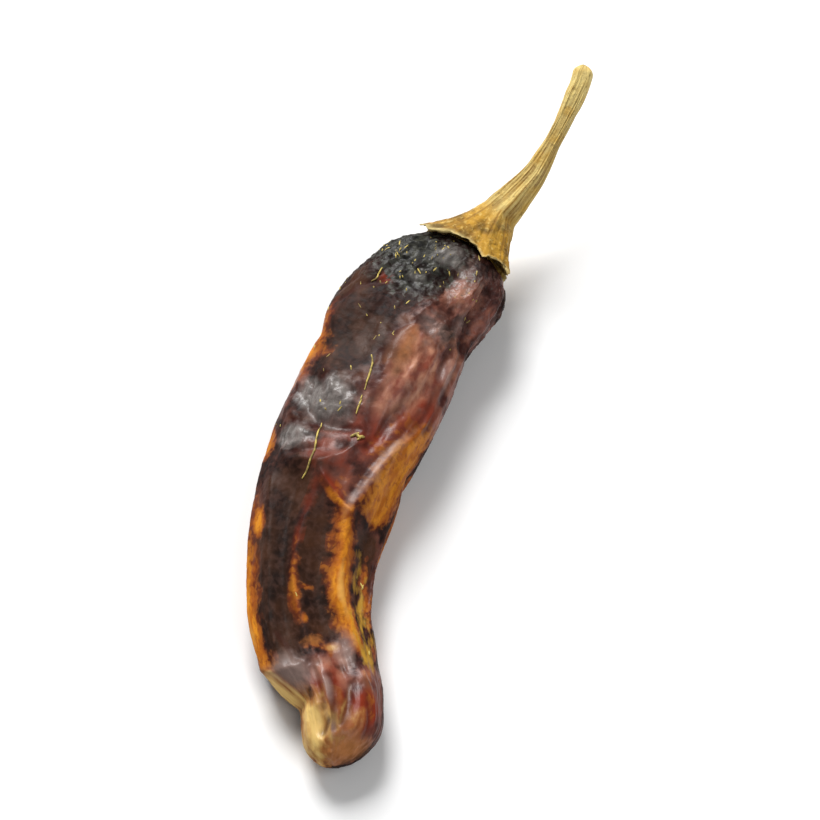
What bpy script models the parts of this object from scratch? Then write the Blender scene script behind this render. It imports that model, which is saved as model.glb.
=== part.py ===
"""Dried chili pepper, picked with its stem on and lying on its side.

It is two grown pieces. The pod is a leathery tube that sank into folds as it dried. The stem flares at its
lower end into the calyx, the papery cap that sits on the pod's shoulder. The pod lies along Y with its tip
towards -Y, and rests on the flat that its own weight pressed into its belly.

Sizes are in millimetres, and the meshes are in metres. A place on the pod is its distance down the middle
line from the calyx end, and its angle: 0 degrees is the right edge, 90 the top, 180 the left edge and 270
the belly.
"""

import bmesh
import bpy
import numpy as np

MM = 0.001

# Middle of the whole pepper's footprint, in the plan that the lines below are drawn in
FOOTPRINT_MIDDLE = (-2.15, 63.08)

# Pod
POD_LENGTH = 103.0
SHOULDER_ROUNDING = 10.0
SHOULDER_SQUARENESS = 2.4
TIP_ROUNDING = 7.0
TIP_SQUARENESS = 2.1

# Distance down the pod, then x and y in plan
MIDDLE_LINE = [
    (0, 3.8, 96.5),
    (9, 0.4, 88.2),
    (20, -3.8, 78.0),
    (32, -7.2, 66.5),
    (46, -9.9, 52.8),
    (60, -10.9, 38.8),
    (74, -9.3, 24.9),
    (86, -5.3, 13.6),
    (95, -1.6, 5.4),
    (103, 0.4, -2.3),
]

# Distance down the pod, then the width left or right of the middle line
HALF_LEFT = [
    (0, 11.4), (8, 12.4), (18, 14.7), (30, 13.3), (45, 12.7),
    (60, 11.3), (76, 9.7), (85, 7.7), (91, 5.5), (103, 5.3),
]
HALF_RIGHT = [
    (0, 11.2), (10, 10.7), (22, 11.8), (35, 12.9), (50, 12.2),
    (72, 10.1), (90, 9.8), (96, 8.5), (103, 6.8),
]

# Distance down the pod, then the height of its edge, its top and its belly
EDGE_HEIGHT = [(0, 9.0), (20, 7.4), (45, 6.2), (75, 5.2), (103, 4.8)]
TOP_HEIGHT = [(0, 15.4), (14, 15.9), (28, 15.2), (45, 13.2), (62, 11.0), (78, 9.6), (90, 9.4), (103, 9.2)]
BELLY_HEIGHT = [(0, 2.2), (12, 0.4), (22, -0.5), (70, -0.5), (86, 0.2), (103, 0.9)]

# The folds fade out under the calyx, from one of these distances to the other
FOLDS_START = (2.0, 6.0)

# Puckers that gather the shoulder towards the calyx: how many, how high, where they are highest, how far they
# reach, how unevenly they are spaced and how much they lean
PUCKER_COUNT = 11
PUCKER_HEIGHT = 0.35
PUCKER_DOWN = 7.0
PUCKER_REACH = 6.0
PUCKER_UNEVENNESS = 1.3
PUCKER_LEAN = 0.12

# One radian round the pod, as a share of the pod's full width there
AROUND_SHARE = 0.4

# Folds that run down the pod. Each has its width, the roundness of its crest, and its line as distance,
# angle and height. A hollow has heights below 0.
LONG_FOLDS = {
    "front ridge": (
        2.4,
        0.6,
        [
            (20, 2, 0), (33, 26, 1.1), (42, 45, 1.8), (50, 57, 2.2),
            (57, 63, 2.2), (71, 62, 2.1), (79, 49, 1.5), (88, 40, 0),
        ],
    ),
    "middle ridge": (
        2.0,
        0.5,
        [(46, 88, 0), (54, 97, 1.3), (63, 103, 1.7), (70, 107, 1.8), (77, 99, 1.6), (87, 92, 0)],
    ),
    "left ridge": (2.2, 0.6, [(48, 152, 0), (56, 138, 1.2), (66, 130, 1.5), (78, 131, 1.4), (87, 140, 0)]),
    "left border": (
        1.8,
        0.5,
        [(38, 172, 0), (50, 165, 0.8), (60, 160, 1.1), (72, 166, 1.1), (82, 165, 0.8), (88, 165, 0)],
    ),
    "bulge": (4.5, 1.5, [(8, 54, 0), (20, 56, 1.3), (28, 57, 1.4), (38, 58, 0.9), (47, 60, 0)]),
    "bulge border": (1.8, 0.5, [(10, 66, 0), (18, 80, 1.2), (26, 84, 1.1), (36, 84, 0.9), (47, 80, 0)]),
    "bulge groove": (1.6, 0.4, [(14, 36, 0), (22, 40, -0.8), (29, 45, -1.2), (38, 58, -1.0), (46, 68, 0)]),
    "bulge flank": (1.6, 0.5, [(10, 8, 0), (18, 20, 0.7), (26, 34, 0.9), (34, 42, 0)]),
    "upper left": (2.2, 0.8, [(18, 158, 0), (26, 150, 0.9), (36, 152, 1.0), (46, 160, 0)]),
    "shoulder left": (2.2, 0.7, [(2, 142, 0), (8, 140, 0.9), (14, 137, 1.2), (22, 136, 0.9), (30, 140, 0)]),
    "shoulder middle": (1.6, 0.5, [(2, 96, 0), (6, 100, 0.9), (10, 106, 1.1), (16, 114, 0)]),
    "shoulder crease": (1.4, 0.4, [(2, 118, 0), (7, 120, -0.8), (12, 122, -0.9), (18, 118, 0)]),
    "shoulder dip": (1.5, 0.4, [(2, 76, 0), (6, 76, -0.8), (11, 82, -0.9), (16, 88, 0)]),
    "shoulder right": (1.6, 0.5, [(2, 52, 0), (6, 54, 0.9), (10, 56, 1.1), (15, 62, 0)]),
    "shoulder hollow": (1.8, 0.5, [(4, 34, 0), (9, 36, -0.9), (14, 34, -1.1), (20, 24, 0)]),
    "shoulder corner": (2.0, 0.7, [(2, 18, 0), (6, 16, 0.9), (10, 14, 0.9), (16, 14, 0)]),
    "dark hollow": (3.2, 1.0, [(10, 92, 0), (20, 108, -1.2), (27, 112, -1.0), (34, 116, 0)]),
    "left hollow": (2.0, 0.5, [(46, 112, 0), (56, 117, -1.1), (75, 116, -1.4), (86, 114, 0)]),
    "middle hollow": (2.2, 0.6, [(50, 82, 0), (60, 84, -1.2), (70, 84, -1.4), (78, 78, -1.2), (88, 70, 0)]),
    "right hollow": (2.4, 0.7, [(44, 28, 0), (54, 36, -1.2), (66, 36, -1.5), (76, 32, -1.2), (88, 22, 0)]),
    "right edge": (1.8, 0.5, [(52, 4, 0), (62, 8, 0.8), (72, 12, 1.2), (80, 14, 1.0), (90, 24, 0)]),
    "tip ridge": (1.3, 0.4, [(82, 88, 0), (88, 88, 1.2), (94, 90, 1.4), (101, 92, 0)]),
    "tip lobe": (2.4, 1.0, [(85, 46, 0), (90, 50, 1.1), (95, 58, 1.5), (101, 62, 0)]),
    "tip groove": (1.2, 0.3, [(84, 70, 0), (89, 72, -0.9), (94, 75, -1.1), (99, 76, 0)]),
    "tip pit": (1.1, 0.3, [(93, 107, 0), (96.5, 110, -1.4), (99.5, 112, 0)]),
    "under left": (
        2.2,
        0.6,
        [(8, 216, 0), (20, 210, 1.0), (40, 206, 1.4), (60, 212, 1.2), (80, 206, 1.2), (94, 200, 0)],
    ),
    "under left hollow": (
        2.4,
        0.6,
        [(10, 192, 0), (28, 190, -1.2), (48, 185, -0.9), (66, 189, -1.2), (84, 188, 0)],
    ),
    "under left groove": (2.0, 0.5, [(16, 236, 0), (34, 228, -0.9), (56, 234, -0.7), (76, 228, 0)]),
    "under right": (2.2, 0.6, [(8, 320, 0), (24, 328, 1.2), (44, 332, 0.9), (64, 336, 1.3), (92, 328, 0)]),
    "under right hollow": (
        2.4,
        0.6,
        [(12, 346, 0), (30, 350, -1.1), (50, 354, -0.8), (66, 352, -1.2), (82, 350, 0)],
    ),
    "under right groove": (2.0, 0.5, [(18, 306, 0), (40, 312, -0.9), (60, 306, -0.6), (84, 312, 0)]),
}
# Folds that run round the pod, with their line as angle, distance and height
CROSS_FOLDS = {
    "upper knob": (3.0, 1.2, [(88, 39, 0), (104, 38, 1.0), (116, 36, 1.3), (138, 32, 0)]),
    "knob valley": (
        1.7,
        0.4,
        [(80, 41, 0), (98, 42.5, -0.9), (118, 42, -1.3), (140, 39, -0.9), (170, 36, 0)],
    ),
    "lower knob": (2.4, 0.9, [(98, 47, 0), (118, 46, 1.2), (136, 43, 1.1), (160, 40, 0)]),
    "brow": (1.9, 0.5, [(66, 42, 0), (84, 47, 1.1), (106, 50, 1.2), (128, 50, 0.8), (150, 46, 0)]),
    "cross ridge": (1.6, 0.4, [(60, 57.5, 0), (68, 57, 1.0), (88, 53.5, 1.2), (106, 50, 0)]),
    "left pinch": (2.0, 0.6, [(138, 28, 0), (156, 27, -0.8), (180, 26, -0.9), (210, 30, 0)]),
    "tip step": (1.9, 0.5, [(98, 84, 0), (118, 85.5, 1.1), (146, 85.5, 1.4), (172, 83.5, 1.0), (200, 82, 0)]),
    "tip notch": (
        2.0,
        0.5,
        [(112, 90, 0), (136, 90.5, -1.2), (160, 91, -1.5), (190, 91, -1.2), (230, 88, 0)],
    ),
    "right pinch": (2.2, 0.6, [(-40, 48, 0), (-15, 46, -0.9), (8, 45, -0.7), (26, 44, 0)]),
    "right waist": (2.2, 0.6, [(-50, 20, 0), (-25, 18, -0.9), (2, 17, -0.9), (20, 16, 0)]),
}

# Stem: distance out from the pod's end, how far right and how far up its middle lies
STEM_PATH = [
    (0.0, 0.2, 0.0),
    (6.7, 0.3, 0.8),
    (10.7, 1.15, 2.2),
    (16.5, 2.1, 4.8),
    (22.2, 2.0, 7.5),
    (30.7, 1.15, 11.0),
    (34.6, 0.0, 12.4),
]
STEM_LENGTH = 34.6
STEM_END_ROUNDING = 1.5
STEM_RADIUS = [(8, 3.2), (11, 2.75), (14, 2.3), (18, 1.8), (22, 1.42), (25, 1.45), (30, 1.75), (34.6, 1.75)]
# Ribs along the stem: how many, their height as a share of the radius, and their twist in radians for each
# millimetre along it
RIB_COUNT = 5
RIB_HEIGHT = 0.12
RIB_TWIST = 0.08

# Calyx: where it gathers into the neck, and how wide the cap is where it leaves the pod's end
NECK = 8.0
CAP_RISE = 3.3
CAP_HALF_WIDTH = 5.3
CAP_HALF_HEIGHT = 4.2
CALYX_WALL = 0.7
CALYX_CLEARANCE = 0.35
# The underside leaves the pod's end in rings that lie closer together near it, and lifts only near the rim
DOME_SPACING = 1.6
RIM_LIFT = 3.0
# The rim's distance down the pod, and its gap to the skin, on average and what the sides differ by
RIM_DOWN = (1.7, -0.2)
RIM_GAP = (0.8, 0.05)
# Angle, length and width in degrees of each tooth
TEETH = [
    (20, 0.9, 10), (67, 2.4, 11), (126, 2.6, 18), (152, 1.3, 10),
    (205, 1.2, 11), (262, 1.0, 12), (318, 0.9, 12),
]

# Mesh steps
POD_AROUND = 64
POD_CAP_ROWS = 7
POD_BODY_ROWS = 48
STEM_AROUND = 54
CALYX_INNER_ROWS = 6
CALYX_OUTER_ROWS = 13
STEM_ROWS = 18
STEM_END_ROWS = 4

POD_COLOUR = (0.085, 0.016, 0.010, 1.0)
STEM_COLOUR = (0.50, 0.31, 0.10, 1.0)


def through(points, at):
    """A smooth curve through (place, value, ...) points, which never swings past them."""
    table = np.array(points, float)
    place, value = table[:, 0], table[:, 1:]
    slope = np.diff(value, axis=0) / np.diff(place)[:, None]
    before, after = slope[:-1], slope[1:]
    turns = before * after <= 0
    middle = 2 * before * after / np.where(turns, 1, before + after)
    tangent = np.vstack([slope[:1], np.where(turns, 0, middle), slope[-1:]])
    at = np.clip(np.asarray(at, float), place[0], place[-1])
    i = np.clip(np.searchsorted(place, at, side="right") - 1, 0, len(place) - 2)
    span = (place[i + 1] - place[i])[..., None]
    t = (at - place[i])[..., None] / span
    found = (
        (1 + 2 * t) * (1 - t) ** 2 * value[i]
        + t * (1 - t) ** 2 * span * tangent[i]
        + t**2 * (3 - 2 * t) * value[i + 1]
        - t**2 * (1 - t) * span * tangent[i + 1]
    )
    return found[..., 0] if found.shape[-1] == 1 else found


def unit(vectors):
    """The same directions with length 1."""
    return vectors / np.linalg.norm(vectors, axis=-1, keepdims=True)


def turned(angle):
    """The same direction as an angle within half a turn of 0."""
    return (angle + np.pi) % (2 * np.pi) - np.pi


def grown(down):
    """The share of its full size that a section has, which falls to 0 at the pod's two rounded ends."""
    shoulder = np.clip(1 - down / SHOULDER_ROUNDING, 0, 1)
    tip = np.clip(1 - (POD_LENGTH - down) / TIP_ROUNDING, 0, 1)
    at_shoulder = (1 - shoulder**SHOULDER_SQUARENESS) ** (1 / SHOULDER_SQUARENESS)
    at_tip = (1 - tip**TIP_SQUARENESS) ** (1 / TIP_SQUARENESS)
    return at_shoulder * at_tip


def smooth_section(down, angle):
    """The pod before it folds: its edge's height, and its half width and half height on this side."""
    half = np.where(np.cos(angle) > 0, through(HALF_RIGHT, down), through(HALF_LEFT, down))
    edge = through(EDGE_HEIGHT, down)
    rise = np.where(np.sin(angle) > 0, through(TOP_HEIGHT, down) - edge, edge - through(BELLY_HEIGHT, down))
    return edge, half * grown(down), rise * grown(down)


def crest(distance, width, rounding):
    """How much of a fold's height is left at this distance across it."""
    return np.exp(-(np.hypot(distance, rounding) - rounding) / width)


def long_fold(down, angle, around, width, rounding, line):
    """How far a fold that runs down the pod lifts the skin."""
    fold_angle, height = np.moveaxis(through(line, down), -1, 0)
    return height * crest(turned(angle - np.radians(fold_angle)) * around, width, rounding)


def cross_fold(down, angle, width, rounding, line):
    """How far a fold that runs round the pod lifts the skin."""
    middle = np.radians((line[0][0] + line[-1][0]) / 2)
    degrees = np.degrees(middle + turned(angle - middle))
    fold_down, height = np.moveaxis(through(line, degrees), -1, 0)
    return height * crest(down - fold_down, width, rounding)


def pucker(down, angle):
    """How far the shoulder's puckers lift the skin."""
    bent = PUCKER_COUNT * angle + PUCKER_UNEVENNESS * np.sin(2 * angle) + PUCKER_LEAN * down
    return PUCKER_HEIGHT * np.cos(bent) * np.exp(-(((down - PUCKER_DOWN) / PUCKER_REACH) ** 2))


def pod_surface(down, angle):
    """Places on the folded pod, in plan and height."""
    edge, half, rise = smooth_section(down, angle)
    right, up = np.cos(angle), np.sin(angle)
    around = AROUND_SHARE * (through(HALF_LEFT, down) + through(HALF_RIGHT, down))
    lift = sum(long_fold(down, angle, around, *fold) for fold in LONG_FOLDS.values())
    lift = lift + sum(cross_fold(down, angle, *fold) for fold in CROSS_FOLDS.values()) + pucker(down, angle)
    lift = lift * grown(down) * np.clip((down - FOLDS_START[0]) / np.ptp(FOLDS_START), 0, 1)
    length = np.maximum(np.hypot(right * rise, up * half), 1e-9)
    sideways = half * right + lift * right * rise / length
    height = edge + rise * up + lift * up * half / length
    ahead = unit(through(MIDDLE_LINE, down + 0.5) - through(MIDDLE_LINE, down - 0.5))
    plan = through(MIDDLE_LINE, down)
    x = plan[..., 0] - ahead[..., 1] * sideways
    y = plan[..., 1] + ahead[..., 0] * sideways
    return np.stack([x, y, np.maximum(height, 0)], axis=-1)


def pod_end(down):
    """The middle of the pod's section at this distance."""
    return np.array([*through(MIDDLE_LINE, down), through(EDGE_HEIGHT, down)])


def stem_frame():
    """The pod's end, and from there the directions out along the stem, right and up."""
    out = pod_end(0) - pod_end(1)
    out[2] = 0
    out = unit(out)
    return pod_end(0), out, np.array([out[1], -out[0], 0]), np.array([0.0, 0.0, 1.0])


def stem_middle(distance):
    end, out, right, up = stem_frame()
    side, height = np.moveaxis(through(STEM_PATH, distance), -1, 0)
    return end + distance[..., None] * out + side[..., None] * right + height[..., None] * up


def stem_surface(distance, angle):
    """Places on the stem above the neck, ribbed lengthwise, with a rounded far end."""
    left_over = np.clip(1 - (STEM_LENGTH - distance) / STEM_END_ROUNDING, 0, 1)
    radius = through(STEM_RADIUS, distance) * np.sqrt(1 - left_over**2)
    radius = radius * (1 + RIB_HEIGHT * np.cos(RIB_COUNT * angle + RIB_TWIST * distance))
    along = unit(stem_middle(distance + 0.3) - stem_middle(distance - 0.3))
    side = unit(np.cross(along, [0.0, 0.0, 1.0]))
    across = np.cross(side, along)
    spoke = np.cos(angle)[..., None] * side + np.sin(angle)[..., None] * across
    return stem_middle(distance) + radius[..., None] * spoke


def rim_down(angle):
    """How far down the pod the calyx's rim hangs. It droops at both sides and at each tooth."""
    down = RIM_DOWN[0] + RIM_DOWN[1] * np.cos(2 * angle)
    for tooth_angle, length, width in TEETH:
        off = np.abs(turned(angle - np.radians(tooth_angle)))
        down = down + length * np.exp(-off / np.radians(width))
    return down


def rim_gap(angle):
    """How far the calyx's rim stands off the skin."""
    return RIM_GAP[0] + RIM_GAP[1] * np.cos(2 * angle)


def over_pod(down, angle, amount):
    """Places this far outside the pod's rounded shoulder."""
    skin = pod_surface(down, angle)
    return skin + amount[..., None] * unit(skin - pod_end(SHOULDER_ROUNDING))


def calyx_under(share, angle):
    """The calyx's underside, from the pod's end (share 0) to the rim (share 1)."""
    gap = CALYX_CLEARANCE + (rim_gap(angle) - CALYX_CLEARANCE) * share**RIM_LIFT
    return over_pod(rim_down(angle) * share**DOME_SPACING, angle, gap)


def calyx_outer(share, angle):
    """The calyx's outer face, swept up like a trumpet's bell from the rim (share 0) to the neck (share 1)."""
    rim = over_pod(rim_down(angle), angle, rim_gap(angle) + CALYX_WALL)
    end, out, right, up = stem_frame()
    side = (CAP_HALF_WIDTH * np.cos(angle))[..., None] * right
    height = (CAP_HALF_HEIGHT * np.sin(angle))[..., None] * up
    bend = stem_middle(np.full_like(angle, CAP_RISE)) + side + height
    neck = stem_surface(np.full_like(angle, NECK), angle)
    t = share[..., None]
    return (1 - t) ** 2 * rim + 2 * t * (1 - t) * bend + t**2 * neck


def shares(rows):
    return np.arange(1, rows + 1) / rows


def cap_distances(rounding, rows):
    """Distances from a rounded end, close together where it curves most."""
    return rounding * (1 - np.cos(shares(rows) * np.pi / 2))


def rings(surface, places, around):
    place, angle = np.meshgrid(places, np.arange(around) * 2 * np.pi / around, indexing="ij")
    return surface(place, angle)


def solid(name, first, rows, last, colour, roughness):
    """A closed mesh through the rings, with a point at each end."""
    low_x, low_y = FOOTPRINT_MIDDLE
    mesh = bmesh.new()

    def vertex(place):
        return mesh.verts.new(((place[0] - low_x) * MM, (place[1] - low_y) * MM, place[2] * MM))

    start, end = vertex(first), vertex(last)
    grid = [[vertex(place) for place in row] for row in rows]
    for i in range(len(grid[0])):
        j = (i + 1) % len(grid[0])
        mesh.faces.new((start, grid[0][i], grid[0][j]))
        mesh.faces.new((end, grid[-1][j], grid[-1][i]))
        for row, after in zip(grid[:-1], grid[1:]):
            mesh.faces.new((row[i], after[i], after[j], row[j]))
    bmesh.ops.recalc_face_normals(mesh, faces=mesh.faces)
    data = bpy.data.meshes.new(name)
    mesh.to_mesh(data)
    mesh.free()
    data.shade_smooth()
    data.materials.append(material(name, colour, roughness))
    thing = bpy.data.objects.new(name, data)
    bpy.context.scene.collection.objects.link(thing)


def material(name, colour, roughness):
    made = bpy.data.materials.new(name)
    made.use_nodes = True
    shader = made.node_tree.nodes["Principled BSDF"]
    shader.inputs["Base Color"].default_value = colour
    shader.inputs["Roughness"].default_value = roughness
    return made


def add_pod():
    body = np.linspace(SHOULDER_ROUNDING, POD_LENGTH - TIP_ROUNDING, POD_BODY_ROWS)[1:]
    tip = POD_LENGTH - cap_distances(TIP_ROUNDING, POD_CAP_ROWS)[-2::-1]
    down = np.concatenate([cap_distances(SHOULDER_ROUNDING, POD_CAP_ROWS), body, tip])
    rows = rings(pod_surface, down, POD_AROUND)
    solid("pod", pod_end(0), rows, pod_end(POD_LENGTH), POD_COLOUR, 0.35)


def add_stem():
    under = rings(calyx_under, shares(CALYX_INNER_ROWS), STEM_AROUND)
    outer = rings(calyx_outer, shares(CALYX_OUTER_ROWS) - 1 / CALYX_OUTER_ROWS, STEM_AROUND)
    body = np.linspace(NECK, STEM_LENGTH - STEM_END_ROUNDING, STEM_ROWS)
    end = STEM_LENGTH - cap_distances(STEM_END_ROUNDING, STEM_END_ROWS)[-2::-1]
    stem = rings(stem_surface, np.concatenate([body, end]), STEM_AROUND)
    first = pod_end(0) + CALYX_CLEARANCE * stem_frame()[1]
    last = stem_middle(np.array(STEM_LENGTH))
    solid("stem_calyx", first, np.concatenate([under, outer, stem]), last, STEM_COLOUR, 0.7)


def build():
    for old in list(bpy.data.objects):
        bpy.data.objects.remove(old, do_unlink=True)
    add_pod()
    add_stem()


build()
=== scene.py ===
# %% [markdown]
# # A dried chili pepper
#
# A fresh pepper is a smooth, juicy tube. As it dries, its flesh shrinks to a leathery skin that has far too
# much area for what is left inside, so the skin sinks into folds. The stem and its cap, the calyx, turn to
# straw. This lesson builds the pod as a tube with folds, adds the fine wrinkles with Geometry Nodes, and paints
# both pieces with materials made of nodes.

import bpy
import numpy as np
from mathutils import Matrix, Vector
from mathutils.bvhtree import BVHTree


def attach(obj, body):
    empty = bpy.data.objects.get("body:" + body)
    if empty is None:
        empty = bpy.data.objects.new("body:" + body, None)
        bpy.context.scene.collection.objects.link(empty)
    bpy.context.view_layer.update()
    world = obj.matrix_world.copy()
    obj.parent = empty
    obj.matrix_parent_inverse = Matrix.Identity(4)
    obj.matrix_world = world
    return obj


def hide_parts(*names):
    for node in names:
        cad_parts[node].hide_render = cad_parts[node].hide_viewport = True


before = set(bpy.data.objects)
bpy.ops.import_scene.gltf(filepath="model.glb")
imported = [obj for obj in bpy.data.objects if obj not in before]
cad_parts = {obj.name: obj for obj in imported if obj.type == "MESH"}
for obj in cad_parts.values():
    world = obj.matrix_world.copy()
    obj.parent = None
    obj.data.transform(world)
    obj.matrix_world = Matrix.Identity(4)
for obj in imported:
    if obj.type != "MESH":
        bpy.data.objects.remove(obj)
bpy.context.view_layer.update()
MM = 0.001

# %% [markdown]
# ## Curves through a few points
#
# Nearly every size of a grown thing changes along its length. Rather than a number at every step, we give a few
# points and draw a smooth curve through them. This curve never swings past its points, so a width given as
# 5 mm stays 5 mm.


# %% A smooth curve
def through(points, at):
    table = np.array(points, float)
    place, value = table[:, 0], table[:, 1:]
    slope = np.diff(value, axis=0) / np.diff(place)[:, None]
    before, after = slope[:-1], slope[1:]
    turns = before * after <= 0
    middle = 2 * before * after / np.where(turns, 1, before + after)
    tangent = np.vstack([slope[:1], np.where(turns, 0, middle), slope[-1:]])
    at = np.clip(np.asarray(at, float), place[0], place[-1])
    i = np.clip(np.searchsorted(place, at, side="right") - 1, 0, len(place) - 2)
    span = (place[i + 1] - place[i])[..., None]
    t = (at - place[i])[..., None] / span
    found = (
        (1 + 2 * t) * (1 - t) ** 2 * value[i]
        + t * (1 - t) ** 2 * span * tangent[i]
        + t**2 * (3 - 2 * t) * value[i + 1]
        - t**2 * (1 - t) * span * tangent[i + 1]
    )
    return found[..., 0] if found.shape[-1] == 1 else found


def unit(vectors):
    return vectors / np.linalg.norm(vectors, axis=-1, keepdims=True)


def turned(angle):
    return (angle + np.pi) % (2 * np.pi) - np.pi


# %% [markdown]
# ## The pod before it folds
#
# A place on the pod has two numbers: how far it lies down the middle line from the calyx, in mm, and its angle
# round the pod, where 0 degrees is the right edge, 90 the top, 180 the left edge and 270 the belly. The lists
# give the pod's bend in plan, its width to each side, and the heights of its edge, top and belly. They are the
# sizes of the solid model, so the fine skin takes its place exactly.

# %% The pod's sizes
FOOTPRINT_MIDDLE = (-2.15, 63.08)
POD_LENGTH = 103.0
SHOULDER_ROUNDING, SHOULDER_SQUARENESS = 10.0, 2.4
TIP_ROUNDING, TIP_SQUARENESS = 7.0, 2.1
MIDDLE_LINE = [
    (0, 3.8, 96.5), (9, 0.4, 88.2), (20, -3.8, 78.0), (32, -7.2, 66.5), (46, -9.9, 52.8),
    (60, -10.9, 38.8), (74, -9.3, 24.9), (86, -5.3, 13.6), (95, -1.6, 5.4), (103, 0.4, -2.3),
]
HALF_LEFT = [
    (0, 11.4), (8, 12.4), (18, 14.7), (30, 13.3), (45, 12.7),
    (60, 11.3), (76, 9.7), (85, 7.7), (91, 5.5), (103, 5.3),
]
HALF_RIGHT = [
    (0, 11.2), (10, 10.7), (22, 11.8), (35, 12.9), (50, 12.2),
    (72, 10.1), (90, 9.8), (96, 8.5), (103, 6.8),
]
EDGE_HEIGHT = [(0, 9.0), (20, 7.4), (45, 6.2), (75, 5.2), (103, 4.8)]
TOP_HEIGHT = [(0, 15.4), (14, 15.9), (28, 15.2), (45, 13.2), (62, 11.0), (78, 9.6), (90, 9.4), (103, 9.2)]
BELLY_HEIGHT = [(0, 2.2), (12, 0.4), (22, -0.5), (70, -0.5), (86, 0.2), (103, 0.9)]
print("pod: widest", round(max(a + b for (_, a), (_, b) in zip(HALF_LEFT, HALF_RIGHT)), 1), "mm")


# %% The pod's rounded ends and its section
def grown(down):
    shoulder = np.clip(1 - down / SHOULDER_ROUNDING, 0, 1)
    tip = np.clip(1 - (POD_LENGTH - down) / TIP_ROUNDING, 0, 1)
    at_shoulder = (1 - shoulder**SHOULDER_SQUARENESS) ** (1 / SHOULDER_SQUARENESS)
    return at_shoulder * (1 - tip**TIP_SQUARENESS) ** (1 / TIP_SQUARENESS)


def smooth_section(down, angle):
    half = np.where(np.cos(angle) > 0, through(HALF_RIGHT, down), through(HALF_LEFT, down))
    edge = through(EDGE_HEIGHT, down)
    rise = np.where(np.sin(angle) > 0, through(TOP_HEIGHT, down) - edge, edge - through(BELLY_HEIGHT, down))
    return edge, half * grown(down), rise * grown(down)


# %% [markdown]
# ## The folds
#
# Drying leaves long ridges and hollows where the skin buckles along the pod, and a few that cross it where the
# pod bends. Each fold is a line drawn on the skin, with its height along the line. Across the line the height
# falls off as on a pleat: a narrow rounded crest with hollow flanks. A fold whose height is below 0 is a hollow.

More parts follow.
